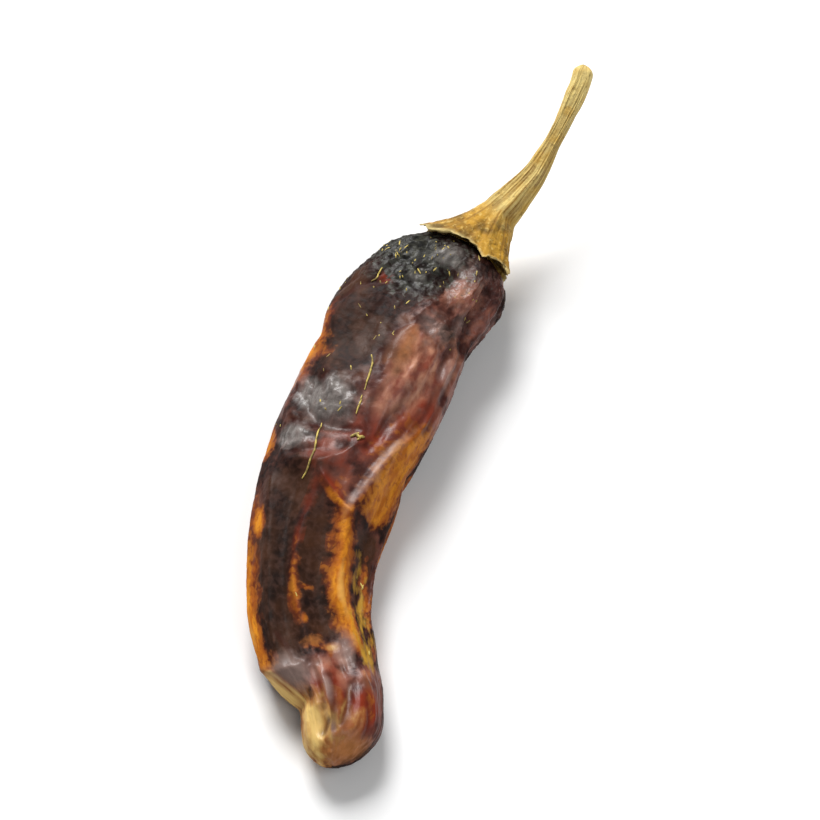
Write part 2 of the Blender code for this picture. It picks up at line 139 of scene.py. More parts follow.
# %% Lines of the folds
LONG_FOLDS = {
    "front ridge": (2.4, 0.6, [
        (20, 2, 0), (33, 26, 1.1), (42, 45, 1.8), (50, 57, 2.2), (57, 63, 2.2), (71, 62, 2.1), (79, 49, 1.5),
        (88, 40, 0),
    ]),
    "middle ridge": (2.0, 0.5, [
        (46, 88, 0), (54, 97, 1.3), (63, 103, 1.7), (70, 107, 1.8), (77, 99, 1.6), (87, 92, 0),
    ]),
    "left ridge": (2.2, 0.6, [(48, 152, 0), (56, 138, 1.2), (66, 130, 1.5), (78, 131, 1.4), (87, 140, 0)]),
    "left border": (1.8, 0.5, [
        (38, 172, 0), (50, 165, 0.8), (60, 160, 1.1), (72, 166, 1.1), (82, 165, 0.8), (88, 165, 0),
    ]),
    "bulge": (4.5, 1.5, [(8, 54, 0), (20, 56, 1.3), (28, 57, 1.4), (38, 58, 0.9), (47, 60, 0)]),
    "bulge border": (1.8, 0.5, [(10, 66, 0), (18, 80, 1.2), (26, 84, 1.1), (36, 84, 0.9), (47, 80, 0)]),
    "bulge groove": (1.6, 0.4, [(14, 36, 0), (22, 40, -0.8), (29, 45, -1.2), (38, 58, -1.0), (46, 68, 0)]),
    "bulge flank": (1.6, 0.5, [(10, 8, 0), (18, 20, 0.7), (26, 34, 0.9), (34, 42, 0)]),
    "upper left": (2.2, 0.8, [(18, 158, 0), (26, 150, 0.9), (36, 152, 1.0), (46, 160, 0)]),
    "shoulder left": (2.2, 0.7, [(2, 142, 0), (8, 140, 0.9), (14, 137, 1.2), (22, 136, 0.9), (30, 140, 0)]),
    "shoulder middle": (1.6, 0.5, [(2, 96, 0), (6, 100, 0.9), (10, 106, 1.1), (16, 114, 0)]),
    "shoulder crease": (1.4, 0.4, [(2, 118, 0), (7, 120, -0.8), (12, 122, -0.9), (18, 118, 0)]),
    "shoulder dip": (1.5, 0.4, [(2, 76, 0), (6, 76, -0.8), (11, 82, -0.9), (16, 88, 0)]),
    "shoulder right": (1.6, 0.5, [(2, 52, 0), (6, 54, 0.9), (10, 56, 1.1), (15, 62, 0)]),
    "shoulder hollow": (1.8, 0.5, [(4, 34, 0), (9, 36, -0.9), (14, 34, -1.1), (20, 24, 0)]),
    "shoulder corner": (2.0, 0.7, [(2, 18, 0), (6, 16, 0.9), (10, 14, 0.9), (16, 14, 0)]),
    "dark hollow": (3.2, 1.0, [(10, 92, 0), (20, 108, -1.2), (27, 112, -1.0), (34, 116, 0)]),
    "left hollow": (2.0, 0.5, [(46, 112, 0), (56, 117, -1.1), (75, 116, -1.4), (86, 114, 0)]),
    "middle hollow": (2.2, 0.6, [(50, 82, 0), (60, 84, -1.2), (70, 84, -1.4), (78, 78, -1.2), (88, 70, 0)]),
    "right hollow": (2.4, 0.7, [(44, 28, 0), (54, 36, -1.2), (66, 36, -1.5), (76, 32, -1.2), (88, 22, 0)]),
    "right edge": (1.8, 0.5, [(52, 4, 0), (62, 8, 0.8), (72, 12, 1.2), (80, 14, 1.0), (90, 24, 0)]),
    "tip ridge": (1.3, 0.4, [(82, 88, 0), (88, 88, 1.2), (94, 90, 1.4), (101, 92, 0)]),
    "tip lobe": (2.4, 1.0, [(85, 46, 0), (90, 50, 1.1), (95, 58, 1.5), (101, 62, 0)]),
    "tip groove": (1.2, 0.3, [(84, 70, 0), (89, 72, -0.9), (94, 75, -1.1), (99, 76, 0)]),
    "tip pit": (1.1, 0.3, [(93, 107, 0), (96.5, 110, -1.4), (99.5, 112, 0)]),
    "under left": (2.2, 0.6, [
        (8, 216, 0), (20, 210, 1.0), (40, 206, 1.4), (60, 212, 1.2), (80, 206, 1.2), (94, 200, 0),
    ]),
    "under left hollow": (2.4, 0.6, [(10, 192, 0), (28, 190, -1.2), (48, 185, -0.9), (66, 189, -1.2), (84, 188, 0)]),
    "under left groove": (2.0, 0.5, [(16, 236, 0), (34, 228, -0.9), (56, 234, -0.7), (76, 228, 0)]),
    "under right": (2.2, 0.6, [(8, 320, 0), (24, 328, 1.2), (44, 332, 0.9), (64, 336, 1.3), (92, 328, 0)]),
    "under right hollow": (2.4, 0.6, [(12, 346, 0), (30, 350, -1.1), (50, 354, -0.8), (66, 352, -1.2), (82, 350, 0)]),
    "under right groove": (2.0, 0.5, [(18, 306, 0), (40, 312, -0.9), (60, 306, -0.6), (84, 312, 0)]),
}
CROSS_FOLDS = {
    "upper knob": (3.0, 1.2, [(88, 39, 0), (104, 38, 1.0), (116, 36, 1.3), (138, 32, 0)]),
    "knob valley": (1.7, 0.4, [(80, 41, 0), (98, 42.5, -0.9), (118, 42, -1.3), (140, 39, -0.9), (170, 36, 0)]),
    "lower knob": (2.4, 0.9, [(98, 47, 0), (118, 46, 1.2), (136, 43, 1.1), (160, 40, 0)]),
    "brow": (1.9, 0.5, [(66, 42, 0), (84, 47, 1.1), (106, 50, 1.2), (128, 50, 0.8), (150, 46, 0)]),
    "cross ridge": (1.6, 0.4, [(60, 57.5, 0), (68, 57, 1.0), (88, 53.5, 1.2), (106, 50, 0)]),
    "left pinch": (2.0, 0.6, [(138, 28, 0), (156, 27, -0.8), (180, 26, -0.9), (210, 30, 0)]),
    "tip step": (1.9, 0.5, [(98, 84, 0), (118, 85.5, 1.1), (146, 85.5, 1.4), (172, 83.5, 1.0), (200, 82, 0)]),
    "tip notch": (2.0, 0.5, [(112, 90, 0), (136, 90.5, -1.2), (160, 91, -1.5), (190, 91, -1.2), (230, 88, 0)]),
    "right pinch": (2.2, 0.6, [(-40, 48, 0), (-15, 46, -0.9), (8, 45, -0.7), (26, 44, 0)]),
    "right waist": (2.2, 0.6, [(-50, 20, 0), (-25, 18, -0.9), (2, 17, -0.9), (20, 16, 0)]),
}
print(len(LONG_FOLDS), "long folds and", len(CROSS_FOLDS), "cross folds")


# %% Height of a line drawn on the skin
# The pod is flatter than round, so one radian round it is shorter than its half width
FLATNESS = 0.8


def around_mm(down):
    return FLATNESS * (through(HALF_LEFT, down) + through(HALF_RIGHT, down)) / 2


def crest(distance, width, rounding):
    return np.exp(-(np.hypot(distance, rounding) - rounding) / width)


def long_line(down, angle, width, rounding, line):
    fold_angle, height = np.moveaxis(through(line, down), -1, 0)
    return height * crest(turned(angle - np.radians(fold_angle)) * around_mm(down), width, rounding)


def cross_line(down, angle, width, rounding, line):
    middle = np.radians((line[0][0] + line[-1][0]) / 2)
    degrees = np.degrees(middle + turned(angle - middle))
    fold_down, height = np.moveaxis(through(line, degrees), -1, 0)
    return height * crest(down - fold_down, width, rounding)


# %% [markdown]
# Near the calyx the skin is gathered, as cloth is at a drawn string: a row of short puckers all round the
# shoulder. A cosine round the pod makes them, and a bell curve down it keeps them near the calyx.

# %% The pod's surface
FOLDS_START = (2.0, 6.0)
PUCKER_COUNT, PUCKER_HEIGHT, PUCKER_DOWN, PUCKER_REACH = 11, 0.35, 7.0, 6.0
PUCKER_UNEVEN, PUCKER_SLANT = 1.3, 0.12
HALF_STEP = 0.5


def fold_lift(down, angle):
    lift = sum(long_line(down, angle, *fold) for fold in LONG_FOLDS.values())
    lift = lift + sum(cross_line(down, angle, *fold) for fold in CROSS_FOLDS.values())
    bent = PUCKER_COUNT * angle + PUCKER_UNEVEN * np.sin(2 * angle) + PUCKER_SLANT * down
    lift = lift + PUCKER_HEIGHT * np.cos(bent) * np.exp(-(((down - PUCKER_DOWN) / PUCKER_REACH) ** 2))
    return lift * grown(down) * np.clip((down - FOLDS_START[0]) / np.ptp(FOLDS_START), 0, 1)


def pod_surface(down, angle, sunk=0.0):
    edge, half, rise = smooth_section(down, angle)
    right, up = np.cos(angle), np.sin(angle)
    lift = fold_lift(down, angle) - sunk
    length = np.maximum(np.hypot(right * rise, up * half), 1e-9)
    sideways = half * right + lift * right * rise / length
    height = edge + rise * up + lift * up * half / length
    ahead = unit(through(MIDDLE_LINE, down + HALF_STEP) - through(MIDDLE_LINE, down - HALF_STEP))
    plan = through(MIDDLE_LINE, down)
    x = plan[..., 0] - ahead[..., 1] * sideways
    y = plan[..., 1] + ahead[..., 0] * sideways
    return np.stack([x, y, np.maximum(height, 0)], axis=-1)


def pod_end(down):
    return np.array([*through(MIDDLE_LINE, down), through(EDGE_HEIGHT, down)])


# %% [markdown]
# ## Wrinkles drawn one by one
#
# Between the big folds lie finer wrinkles, too fine for the solid model: pleats on the bulge, a star where the
# skin was pinched, clefts in the lifted knobs, and grooves at the tip. Each is a chain of straight steps on the
# skin. The skin sinks by how near a point is to the chain, so the pod never grows past its solid.

# %% Wrinkles
# A wrinkle is (width in mm, depth in mm, places on the skin)
WRINKLES = [
    (0.9, 0.4, [(20, 42), (26, 39), (30, 38), (35, 38), (39, 43)]),
    (0.8, 0.35, [(17.7, 29), (22, 27), (27, 26), (32, 27), (37, 31)]),
    (0.9, 0.45, [(27.9, 91.5), (33, 84.5), (38, 81), (44.7, 70.5)]),
    (1.0, 0.3, [(23, 63), (30, 58), (36, 60), (42, 66)]),
    (0.8, 0.35, [(24, 93), (22.9, 90), (20.1, 81), (18.9, 69)]),
    (0.6, 0.4, [(17.2, 72), (16.9, 56)]),
    (0.6, 0.4, [(12.4, 40), (16.5, 53)]),
    (0.6, 0.35, [(21.5, 50), (17.2, 54)]),
    (0.6, 0.4, [(16.3, 32), (16.9, 52)]),
    (0.6, 0.35, [(20.5, 69), (17.2, 57)]),
    (0.6, 0.3, [(12.6, 63), (16.4, 55)]),
    (0.7, 0.35, [(4, 89), (7.2, 87.5), (10.8, 73.5), (14.4, 67.5)]),
    (0.7, 0.35, [(5.5, 67), (10.1, 59), (13.4, 56.5)]),
    (0.6, 0.35, [(4.1, 46.5), (6.7, 28.5), (9, 22)]),
    (0.6, 0.3, [(3.6, 98), (7.7, 74)]),
    (0.5, 0.45, [(35.5, 122), (37.1, 119), (40.2, 112), (43.3, 107.5)]),
    (0.5, 0.4, [(36, 101), (40.9, 89.5)]),
    (0.5, 0.3, [(33.5, 97.5), (37.7, 87.5)]),
    (0.45, 0.35, [(36.5, 133), (38.7, 131), (42.3, 129)]),
    (0.4, 0.25, [(36, 110), (41.5, 101)]),
    (0.4, 0.25, [(37, 127), (42, 120)]),
    (0.4, 0.25, [(37.5, 142), (41, 139)]),
    (0.7, 0.45, [(43.5, 136), (43.4, 122), (43, 110), (42.1, 80)]),
    (0.45, 0.3, [(46.4, 137), (45.9, 111.5)]),
    (0.45, 0.3, [(48.8, 127), (47.3, 106)]),
    (0.9, 0.4, [(34, 42), (42.8, 53), (48.7, 64.5), (55.7, 68)]),
    (0.6, 0.3, [(51, 94), (57, 101), (62.9, 108), (69.8, 110), (77, 105)]),
    (0.8, 0.3, [(45.6, 89.5), (50.7, 91), (54.7, 95)]),
    (0.5, 0.45, [(88.5, 83), (93, 86), (98, 89)]),
    (0.5, 0.45, [(90.5, 64), (94, 71), (97.2, 79.5)]),
    (0.7, 0.5, [(96.6, 98), (98.2, 110)]),
    (0.5, 0.3, [(86, 98), (90, 99), (94, 103)]),
    (0.5, 0.3, [(91, 52), (95, 46), (99, 44)]),
    (0.6, 0.35, [(21.2, 143.5), (18.2, 132), (16.5, 122)]),
    (0.5, 0.3, [(19.5, 156), (18.7, 151), (16.9, 141)]),
    (0.6, 0.3, [(79, 128), (83.7, 117), (85.8, 95)]),
]
WRINKLE_ROUNDING = 0.25
print(len(WRINKLES), "wrinkles drawn by hand")


# %% Depth of the wrinkles
def wrinkle(down, angle, width, depth, places):
    around, nearest = around_mm(down), np.inf
    for (from_down, from_angle), (to_down, to_angle) in zip(places, places[1:]):
        x, y = turned(angle - np.radians(from_angle)) * around, down - from_down
        run_x, run_y = np.radians(to_angle - from_angle) * around, to_down - from_down
        share = np.clip((x * run_x + y * run_y) / (run_x**2 + run_y**2), 0, 1)
        nearest = np.minimum(nearest, np.hypot(x - share * run_x, y - share * run_y))
    return depth * crest(nearest, width, WRINKLE_ROUNDING)


def sunk_by(down, angle):
    return np.maximum.reduce([wrinkle(down, angle, *one) for one in WRINKLES]) * grown(down)


# %% [markdown]
# ## From rings to a mesh
#
# Both pieces are skinned the same way: rings of points, one after the other, joined by four-sided faces, with a
# single point closing each end. That gives one closed shell whose faces all point outwards. Each point also
# keeps values that the materials read later, called attributes. One of them is the point's place on the skin
# as if the pod lay straight, so that a pattern follows the bend.


# %% Rings to mesh
def cap_steps(rounding, rows):
    return rounding * (1 - np.cos(np.arange(1, rows + 1) / rows * np.pi / 2))


def chart(places, around):
    return np.meshgrid(places, np.arange(around) * 2 * np.pi / around, indexing="ij")


def placed(name, data):
    made = bpy.data.objects.new(name, data)
    bpy.context.scene.collection.objects.link(made)
    return made


def skinned(name, first, rings, last, values):
    rows, around = rings.shape[:2]
    points = np.vstack([first, rings.reshape(-1, 3), last])
    points[:, :2] -= FOOTPRINT_MIDDLE
    i = np.arange(around)
    j = (i + 1) % around
    ring = 1 + around * np.arange(rows - 1)[:, None]
    quads = np.stack([ring + i, ring + around + i, ring + around + j, ring + j], axis=-1).reshape(-1, 4)
    start = np.stack([0 * i, 1 + i, 1 + j], axis=-1)
    end = np.stack([0 * i + len(points) - 1, len(points) - 1 - around + j, len(points) - 1 - around + i], axis=-1)
    mesh = bpy.data.meshes.new(name)
    mesh.from_pydata((points * MM).tolist(), [], start.tolist() + quads.tolist() + end.tolist())
    for key, value in values.items():
        full = np.concatenate([value[:1, 0], value.reshape(rows * around, -1).squeeze(), value[-1:, 0]])
        kind, field = ("FLOAT_VECTOR", "vector") if full.ndim > 1 else ("FLOAT", "value")
        mesh.attributes.new(key, kind, "POINT").data.foreach_set(field, full.ravel())
    mesh.polygons.foreach_set("use_smooth", [True] * len(mesh.polygons))
    corners = points[np.vstack([start, quads[:, :3], quads[:, [0, 2, 3]], end])]
    if np.linalg.det(corners).sum() < 0:
        mesh.flip_normals()
    mesh.update()
    return placed(name, mesh)


# %% [markdown]
# ## Where the colours lie
#
# A chili doesn't dry to one colour. Thin skin and the crests of folds let light through and turn amber, thick
# wet parts go nearly black, and the sunny side stays red. We draw these areas on the skin as we drew the folds:
# as lines with a width, and as spots. The material will break up their edges later. The warm ones come first:
# amber for thin skin, ember where it is a fiery red, a painted glow on crests, the bulge's red with a painted
# sheen, and plain red.

# %% Warm areas
# An area has long lines, cross lines and spots. A spot is (down, angle, length, width, strength)
AREAS = {
    "amber": {
        "long": [
            (3.0, 2.0, [(33, 28, 0), (38, 30, 0.7), (44, 35, 1.0), (50, 36, 1.0), (54.5, 38, 0.9), (59, 38, 0)]),
            (1.0, 0.8, [
                (50, 64, 0), (57, 68, 0.6), (65, 61, 1.1), (71, 62, 1.4), (77, 54, 1.2), (84, 46, 0.5), (91, 42, 0),
            ]),
            (1.5, 0.8, [
                (42, 174, 0), (47, 168, 0.9), (52, 162, 0.2), (60, 160, 0.2), (68, 164, 0.9), (78, 164, 1.2),
                (88, 158, 0),
            ]),
            (0.6, 0.4, [
                (60, 107, 0), (66, 106, 0.35), (70, 106, 0.55), (74, 104, 0.55), (78, 101, 0.3), (84, 94, 0),
            ]),
            (1.0, 0.5, [(60, 30, 0), (68, 26, 0.3), (76, 20, 0.5), (90, 20, 0)]),
            (2.2, 1.0, [(20, 168, 0), (29, 154, 0.8), (35, 156, 0.4), (42, 168, 0)]),
            (2.0, 1.0, [(30, 200, 0), (50, 206, 0.7), (70, 200, 0.9), (88, 196, 0)]),
            (2.0, 1.0, [(34, 330, 0), (52, 336, 0.8), (66, 330, 0.6), (84, 334, 0.8), (94, 330, 0)]),
        ],
        "cross": [
            (0.6, 0.3, [(60, 58, 0), (68, 57, 0.9), (84, 55, 0.8), (92, 54, 0.4), (104, 51, 0)]),
            (1.0, 0.6, [(70, 84, 0), (82, 83, 0.45), (96, 82, 0.35), (112, 80, 0)]),
        ],
        "spots": [
            (60.5, 147, 2.2, 1.3, 0.9), (82, 92, 2.0, 2.0, 0.4), (77.4, 96, 1.2, 0.7, 0.6),
            (71.5, 95, 0.8, 1.3, 0.45), (94, 42, 5.0, 1.2, 0.35),
        ],
    },
    "ember": {
        "long": [
            (1.8, 1.0, [(24, 34, 0), (31, 38, 0.7), (38, 44, 0.9), (44, 50, 0.5), (50, 56, 0)]),
            (0.6, 0.3, [(44, 126, 0), (54, 99, 0.4), (62, 105, 0.5), (70, 107, 0.2), (80, 100, 0)]),
            (1.2, 0.6, [(84, 76, 0), (89, 80, 0.6), (95, 84, 0.8), (99, 82, 0)]),
        ],
        "cross": [
            (1.0, 0.5, [(60, 58, 0), (68, 57, 0.6), (84, 54, 0.7), (106, 50, 0)]),
        ],
        "spots": [
            (95.2, 55, 3.2, 2.6, 1.7), (92.6, 79, 2.2, 0.9, 1.1), (90.5, 101, 2.6, 0.9, 0.9),
            (15, 121, 1.6, 1.3, 0.9), (26, 150, 5, 2.0, 0.4), (48, 86, 3, 5, 0.5), (43, 68, 4, 4, 0.9),
        ],
    },
    # A painted glow: pale orange on the bulge and the tip
    "painted_glow": {
        "long": [
            (0.9, 0.7, [(18, 77, 0), (22, 77, 0.5), (26, 76, 0.7), (30, 76, 0.3), (34, 78, 0)]),
        ],
        "spots": [
            (29, 88, 2.5, 1.2, 0.5), (101, 72, 2.6, 6, 0.9), (92, 46, 5, 1.2, 0.4), (90, 124, 3, 1.2, 0.4),
            (58, 66, 5, 1.0, 0.4),
        ],
    },
    # Red skin with a painted sheen on it: pale pinkish red where the bulge catches the light
    "red_with_painted_sheen": {
        "spots": [
            (27, 58, 9, 6, 1.0), (24, 36, 10, 4, 0.7), (34, 58, 5, 5, 0.7), (36, 42, 6, 3, 0.5),
            (10, 52, 5, 5, 0.6), (88, 72, 4, 3.5, 0.6), (24, 78, 5, 3, 0.8), (32, 50, 5, 4, 1.1),
        ],
    },
    "red": {
        "long": [
            (3.0, 2.0, [(78, 74, 0), (86, 84, 0.8), (94, 84, 1.0), (101, 80, 0.8)]),
        ],
        "spots": [
            (28, 52, 14, 9, 1.2), (42, 62, 10, 8, 1.0), (52, 80, 6, 7, 0.6), (10, 30, 9, 7, 0.8),
            (56, 46, 14, 4, 0.5), (93, 58, 10, 7, 1.2), (36, 152, 10, 3, 0.7), (74, 90, 9, 2, 0.3),
            (40, 250, 30, 12, 0.7), (24, 14, 14, 7, 0.9), (62, 150, 20, 3, 0.5), (70, 18, 20, 5, 0.7),
            (47, 108, 3, 9, 0.3), (9, 66, 5, 4, 0.7), (20, 76, 7, 3, 0.5), (97, 110, 5, 8, 0.7),
        ],
    },
}

# %% [markdown]
# Between the ridges the flesh was thick and has dried to nearly black panels, and a black scab lies near the
# calyx. Pale grey patches on the knobs and near the calyx are painted highlights, and a ridge crest and a few
# patches carry a smooth grey painted sheen. The tip and a strip beside it had hardly any flesh, so they are tan,
# and one furrow has turned olive.

# %% Dark and pale areas
AREAS |= {
    "panel": {
        "long": [
            (4.0, 2.5, [(50, 116, 0), (58, 121, 0.9), (74, 124, 1.1), (82, 132, 0.9), (88, 138, 0)]),
            (3.0, 2.2, [(53, 98, 0), (60, 93, 0.8), (68, 84, 1.1), (77, 78, 1.0), (84, 76, 0)]),
            (2.4, 1.5, [(56, 44, 0), (61, 36, 0.9), (68, 26, 0.7), (78, 32, 0.5), (84, 34, 0)]),
        ],
        "spots": [
            (26, 112, 9, 7, 1.0), (19, 140, 6, 5, 0.6), (55, 118, 5, 7, 0.9), (50, 110, 3, 7, 0.6),
            (18, 51, 2.6, 2.4, 0.9), (43, 118, 1.0, 6, 0.5), (32, 100, 4, 4, 0.5),
        ],
    },
    # Painted highlights: pale grey patches on the knobs and near the calyx
    "painted_highlight_area": {
        "spots": [
            (38.2, 134, 2.6, 2.6, 1.3), (38.4, 112, 3.4, 3.6, 1.4), (40.5, 98, 2.4, 2.0, 0.7),
            (46, 131, 2.2, 3.2, 1.0), (6, 92, 3.4, 2.6, 0.8), (13, 102, 2, 2.4, 0.5),
        ],
    },
    # Painted sheen: a smooth grey reflection on a ridge crest and a few patches
    "painted_sheen_area": {
        "long": [
            (0.7, 0.5, [
                (35, 38, 0), (41.4, 47.5, 0.45), (45.7, 53, 0.5), (50.2, 59, 0.6), (56, 69, 0.5), (62, 67, 0),
            ]),
        ],
        "spots": [
            (86, 128, 3.2, 3.4, 1.0), (84.6, 60, 4, 1.4, 0.8), (90.6, 88.5, 3.2, 0.5, 0.9),
            (98.2, 90, 1.4, 0.5, 0.6), (19.5, 66, 2.6, 3.2, 0.7), (15, 44, 3.5, 2.0, 0.5), (24, 34, 4, 1.5, 0.5),
            (47, 92, 3, 2, 0.3), (8, 70, 5, 2, 0.5),
        ],
    },
    "tan": {
        "long": [
            (0.7, 0.4, [(83, 160, 0), (86, 153, 0.8), (89, 148, 1.0), (93, 146, 0.7), (97, 146, 0)]),
            (3.0, 1.9, [
                (88, 148, 0), (92, 137, 0.9), (96, 126, 1.15), (99, 132, 1.0), (102, 146, 0.7), (103, 150, 0.4),
            ]),
            (0.35, 0.1, [(89.5, 62, 0), (92, 68, 0.5), (95, 78, 0.6), (98, 82, 0.5), (101, 88, 0)]),
        ],
        "spots": [
            (81.5, 92, 1.2, 1.6, 0.45), (83, 76, 1.0, 1.2, 0.5), (98, 192, 6, 5, 0.9), (88, 178, 5, 4, 1.1),
        ],
    },
    "scab": {
        "spots": [
            (8, 124, 6.5, 9, 1.1), (13, 108, 4.0, 5, 0.9), (3, 92, 3.0, 6, 0.6), (4, 200, 5, 12, 0.8),
            (4, 290, 4, 14, 0.7),
        ],
    },
    "olive": {
        "long": [
            (1.2, 1.4, [(60, 42, 0), (66, 38, 0.4), (74, 32, 0.6), (81, 34, 0.65), (88, 32, 0.4), (94, 30, 0)]),
        ],
    },
}

# %% [markdown]
# The last area isn't a colour. It says where crumbs of pith will stick: most of them near the calyx, where the
# skin is rough, and a few down the left side and beside the ridges.

# %% Where crumbs of pith lie
AREAS |= {
    "fleck": {
        "long": [
            (1.5, 0.8, [(10, 120, 0), (16, 122, 0.5), (24, 124, 0.35), (30, 120, 0)]),
            (1.2, 0.6, [(8, 160, 0), (18, 158, 0.5), (30, 156, 0.5), (40, 158, 0.3), (48, 160, 0)]),
            (1.0, 0.6, [(60, 30, 0), (68, 30, 0.4), (80, 22, 0.4), (88, 22, 0)]),
            (0.6, 0.3, [(60, 106, 0), (68, 106, 0.3), (78, 98, 0.4), (86, 92, 0)]),
        ],
        "spots": [
            (8, 128, 5, 8, 1.2), (13, 124, 4, 2, 1.2), (5, 100, 3, 3, 0.6), (10, 58, 5, 6, 0.5),
            (24, 116, 8, 6, 0.2), (40, 110, 9, 8, 0.06), (82, 90, 3, 4, 0.3),
        ],
    },
}
print("areas drawn on the skin:", ", ".join(AREAS))


# %% How strong an area is at each place
def spot(down, angle, at_down, at_angle, length, width, strength):
    across = turned(angle - np.radians(at_angle)) * around_mm(down)
    return strength * np.exp(-(((down - at_down) / length) ** 2) - (across / width) ** 2)


def area(down, angle, long=(), cross=(), spots=()):
    shades = [long_line(down, angle, *line) for line in long]
    shades += [cross_line(down, angle, *line) for line in cross]
    shades += [spot(down, angle, *one) for one in spots]
    return np.maximum.reduce(shades)


# %% Make the pod's mesh
POD_AROUND, POD_ROWS, POD_CAP_ROWS = 256, 330, 26
body = np.linspace(SHOULDER_ROUNDING, POD_LENGTH - TIP_ROUNDING, POD_ROWS)[1:]
tip = POD_LENGTH - cap_steps(TIP_ROUNDING, POD_CAP_ROWS)[-2::-1]
down, angle = chart(np.concatenate([cap_steps(SHOULDER_ROUNDING, POD_CAP_ROWS), body, tip]), POD_AROUND)
FLAT_RADIUS = 11.0
# Small creases are deepest near the calyx and round the star where the skin was pinched
CREASED_DOWN, PINCHED_STAR = 15, (18, 51, 3.5, 3.5, 1.2)
across = FLAT_RADIUS * grown(down)
values = {name: area(down, angle, **parts) for name, parts in AREAS.items()}
values["flat_skin"] = np.stack([across * np.cos(angle), across * np.sin(angle), down], axis=-1)
values["fold"] = fold_lift(down, angle)
values["shoulder"] = np.maximum(np.exp(-((down / CREASED_DOWN) ** 2)), spot(down, angle, *PINCHED_STAR))
sunk = sunk_by(down, angle)
values["sunk"] = sunk
pod = skinned("pod_skin", pod_end(0), pod_surface(down, angle, sunk), pod_end(POD_LENGTH), values)
print("pod:", 2 * POD_AROUND * len(down), "triangles")

# %% [markdown]
# ## The calyx and stem
#
# The calyx is a papery cap that once held the flower. It sits over the pod's end, droops at both sides, and
# ends in a few uneven teeth. Its outer face sweeps up like a trumpet's bell to the neck of the stem. We make it
# as rings too: under the cap from the middle out to the rim, back over the rim, up the bell, and out along the
# stem to its rounded end. The cap's underside follows the pod's own surface at a small distance, so the two
# never cut into each other.

# %% Sizes of the calyx and stem
STEM_PATH = [
    (0.0, 0.2, 0.0), (6.7, 0.3, 0.8), (10.7, 1.15, 2.2), (16.5, 2.1, 4.8),
    (22.2, 2.0, 7.5), (30.7, 1.15, 11.0), (34.6, 0.0, 12.4),
]
STEM_LENGTH, STEM_END_ROUNDING, STEM_STEP = 34.6, 1.5, 0.3
STEM_RADIUS = [(8, 3.2), (11, 2.75), (14, 2.3), (18, 1.8), (22, 1.42), (25, 1.45), (30, 1.75), (34.6, 1.75)]
RIB_COUNT, RIB_HEIGHT, RIB_TWIST = 5, 0.12, 0.08
NECK, CAP_RISE, CAP_HALF_WIDTH, CAP_HALF_HEIGHT = 8.0, 3.3, 5.3, 4.2
CALYX_WALL, CALYX_CLEARANCE = 0.7, 0.35
DOME_SPACING, RIM_LIFT = 1.6, 3.0
RIM_DOWN, RIM_GAP = (1.7, -0.2), (0.8, 0.05)
TEETH = [
    (20, 0.9, 10), (67, 2.4, 11), (126, 2.6, 18), (152, 1.3, 10),
    (205, 1.2, 11), (262, 1.0, 12), (318, 0.9, 12),
]
print("calyx:", len(TEETH), "teeth, and a stem", STEM_LENGTH, "mm long")


# %% Middle line and surface of the stem
def stem_frame():
    out = pod_end(0) - pod_end(1)
    out[2] = 0
    out = unit(out)
    return pod_end(0), out, np.array([out[1], -out[0], 0]), np.array([0.0, 0.0, 1.0])


def stem_middle(distance):
    end, out, right, up = stem_frame()
    side, height = np.moveaxis(through(STEM_PATH, distance), -1, 0)
    return end + distance[..., None] * out + side[..., None] * right + height[..., None] * up


def stem_surface(distance, angle):
    left_over = np.clip(1 - (STEM_LENGTH - distance) / STEM_END_ROUNDING, 0, 1)
    radius = through(STEM_RADIUS, distance) * np.sqrt(1 - left_over**2)
    radius = radius * (1 + RIB_HEIGHT * np.cos(RIB_COUNT * angle + RIB_TWIST * distance))
    along = unit(stem_middle(distance + STEM_STEP) - stem_middle(distance - STEM_STEP))
    side = unit(np.cross(along, [0.0, 0.0, 1.0]))
    across = np.cross(side, along)
    spoke = np.cos(angle)[..., None] * side + np.sin(angle)[..., None] * across
    return stem_middle(distance) + radius[..., None] * spoke


# %% [markdown]
# The rim of a dried calyx is thin and nibbled, and its teeth have rounded tips. So the edge is made thinner than
# the solid's, by raising the underside near the rim, small notches are cut into it, and the teeth lose their
# points. All three only take material away.

# %% Faces of the calyx
RIM_THICKNESS, NOTCH_DEPTH = 0.55, 0.3
TOOTH_ROUNDING = np.radians(3)
# A wave of notches is (count round the rim, turn, height)
NOTCH_WAVES = [(13, 1, 1), (23, 2, 1), (37, 0, 1), (61, 0, 0.7)]


def rim_down(angle):
    down = RIM_DOWN[0] + RIM_DOWN[1] * np.cos(2 * angle)
    for tooth_angle, length, width in TEETH:
        off = np.hypot(turned(angle - np.radians(tooth_angle)), TOOTH_ROUNDING)
        down = down + length * np.exp(-off / np.radians(width))
    waves = sum(height * np.sin(count * angle + turn) for count, turn, height in NOTCH_WAVES)
    return down - NOTCH_DEPTH * np.clip(waves / 3, 0, 1)


def rim_gap(angle):
    return RIM_GAP[0] + RIM_GAP[1] * np.cos(2 * angle)


def over_pod(down, angle, amount):
    skin = pod_surface(down, angle)
    return skin + amount[..., None] * unit(skin - pod_end(SHOULDER_ROUNDING))


def calyx_under(share, angle):
    gap = CALYX_CLEARANCE + (rim_gap(angle) - CALYX_CLEARANCE) * share**RIM_LIFT
    gap = gap + (CALYX_WALL - RIM_THICKNESS) * share ** (2 * RIM_LIFT)
    return over_pod(rim_down(angle) * share**DOME_SPACING, angle, gap)


def calyx_outer(share, angle):
    rim = over_pod(rim_down(angle), angle, rim_gap(angle) + CALYX_WALL)
    end, out, right, up = stem_frame()
    side = (CAP_HALF_WIDTH * np.cos(angle))[..., None] * right
    height = (CAP_HALF_HEIGHT * np.sin(angle))[..., None] * up
    bend = stem_middle(np.full_like(angle, CAP_RISE)) + side + height
    neck = stem_surface(np.full_like(angle, NECK), angle)
    t = share[..., None]
    return (1 - t) ** 2 * rim + 2 * t * (1 - t) * bend + t**2 * neck


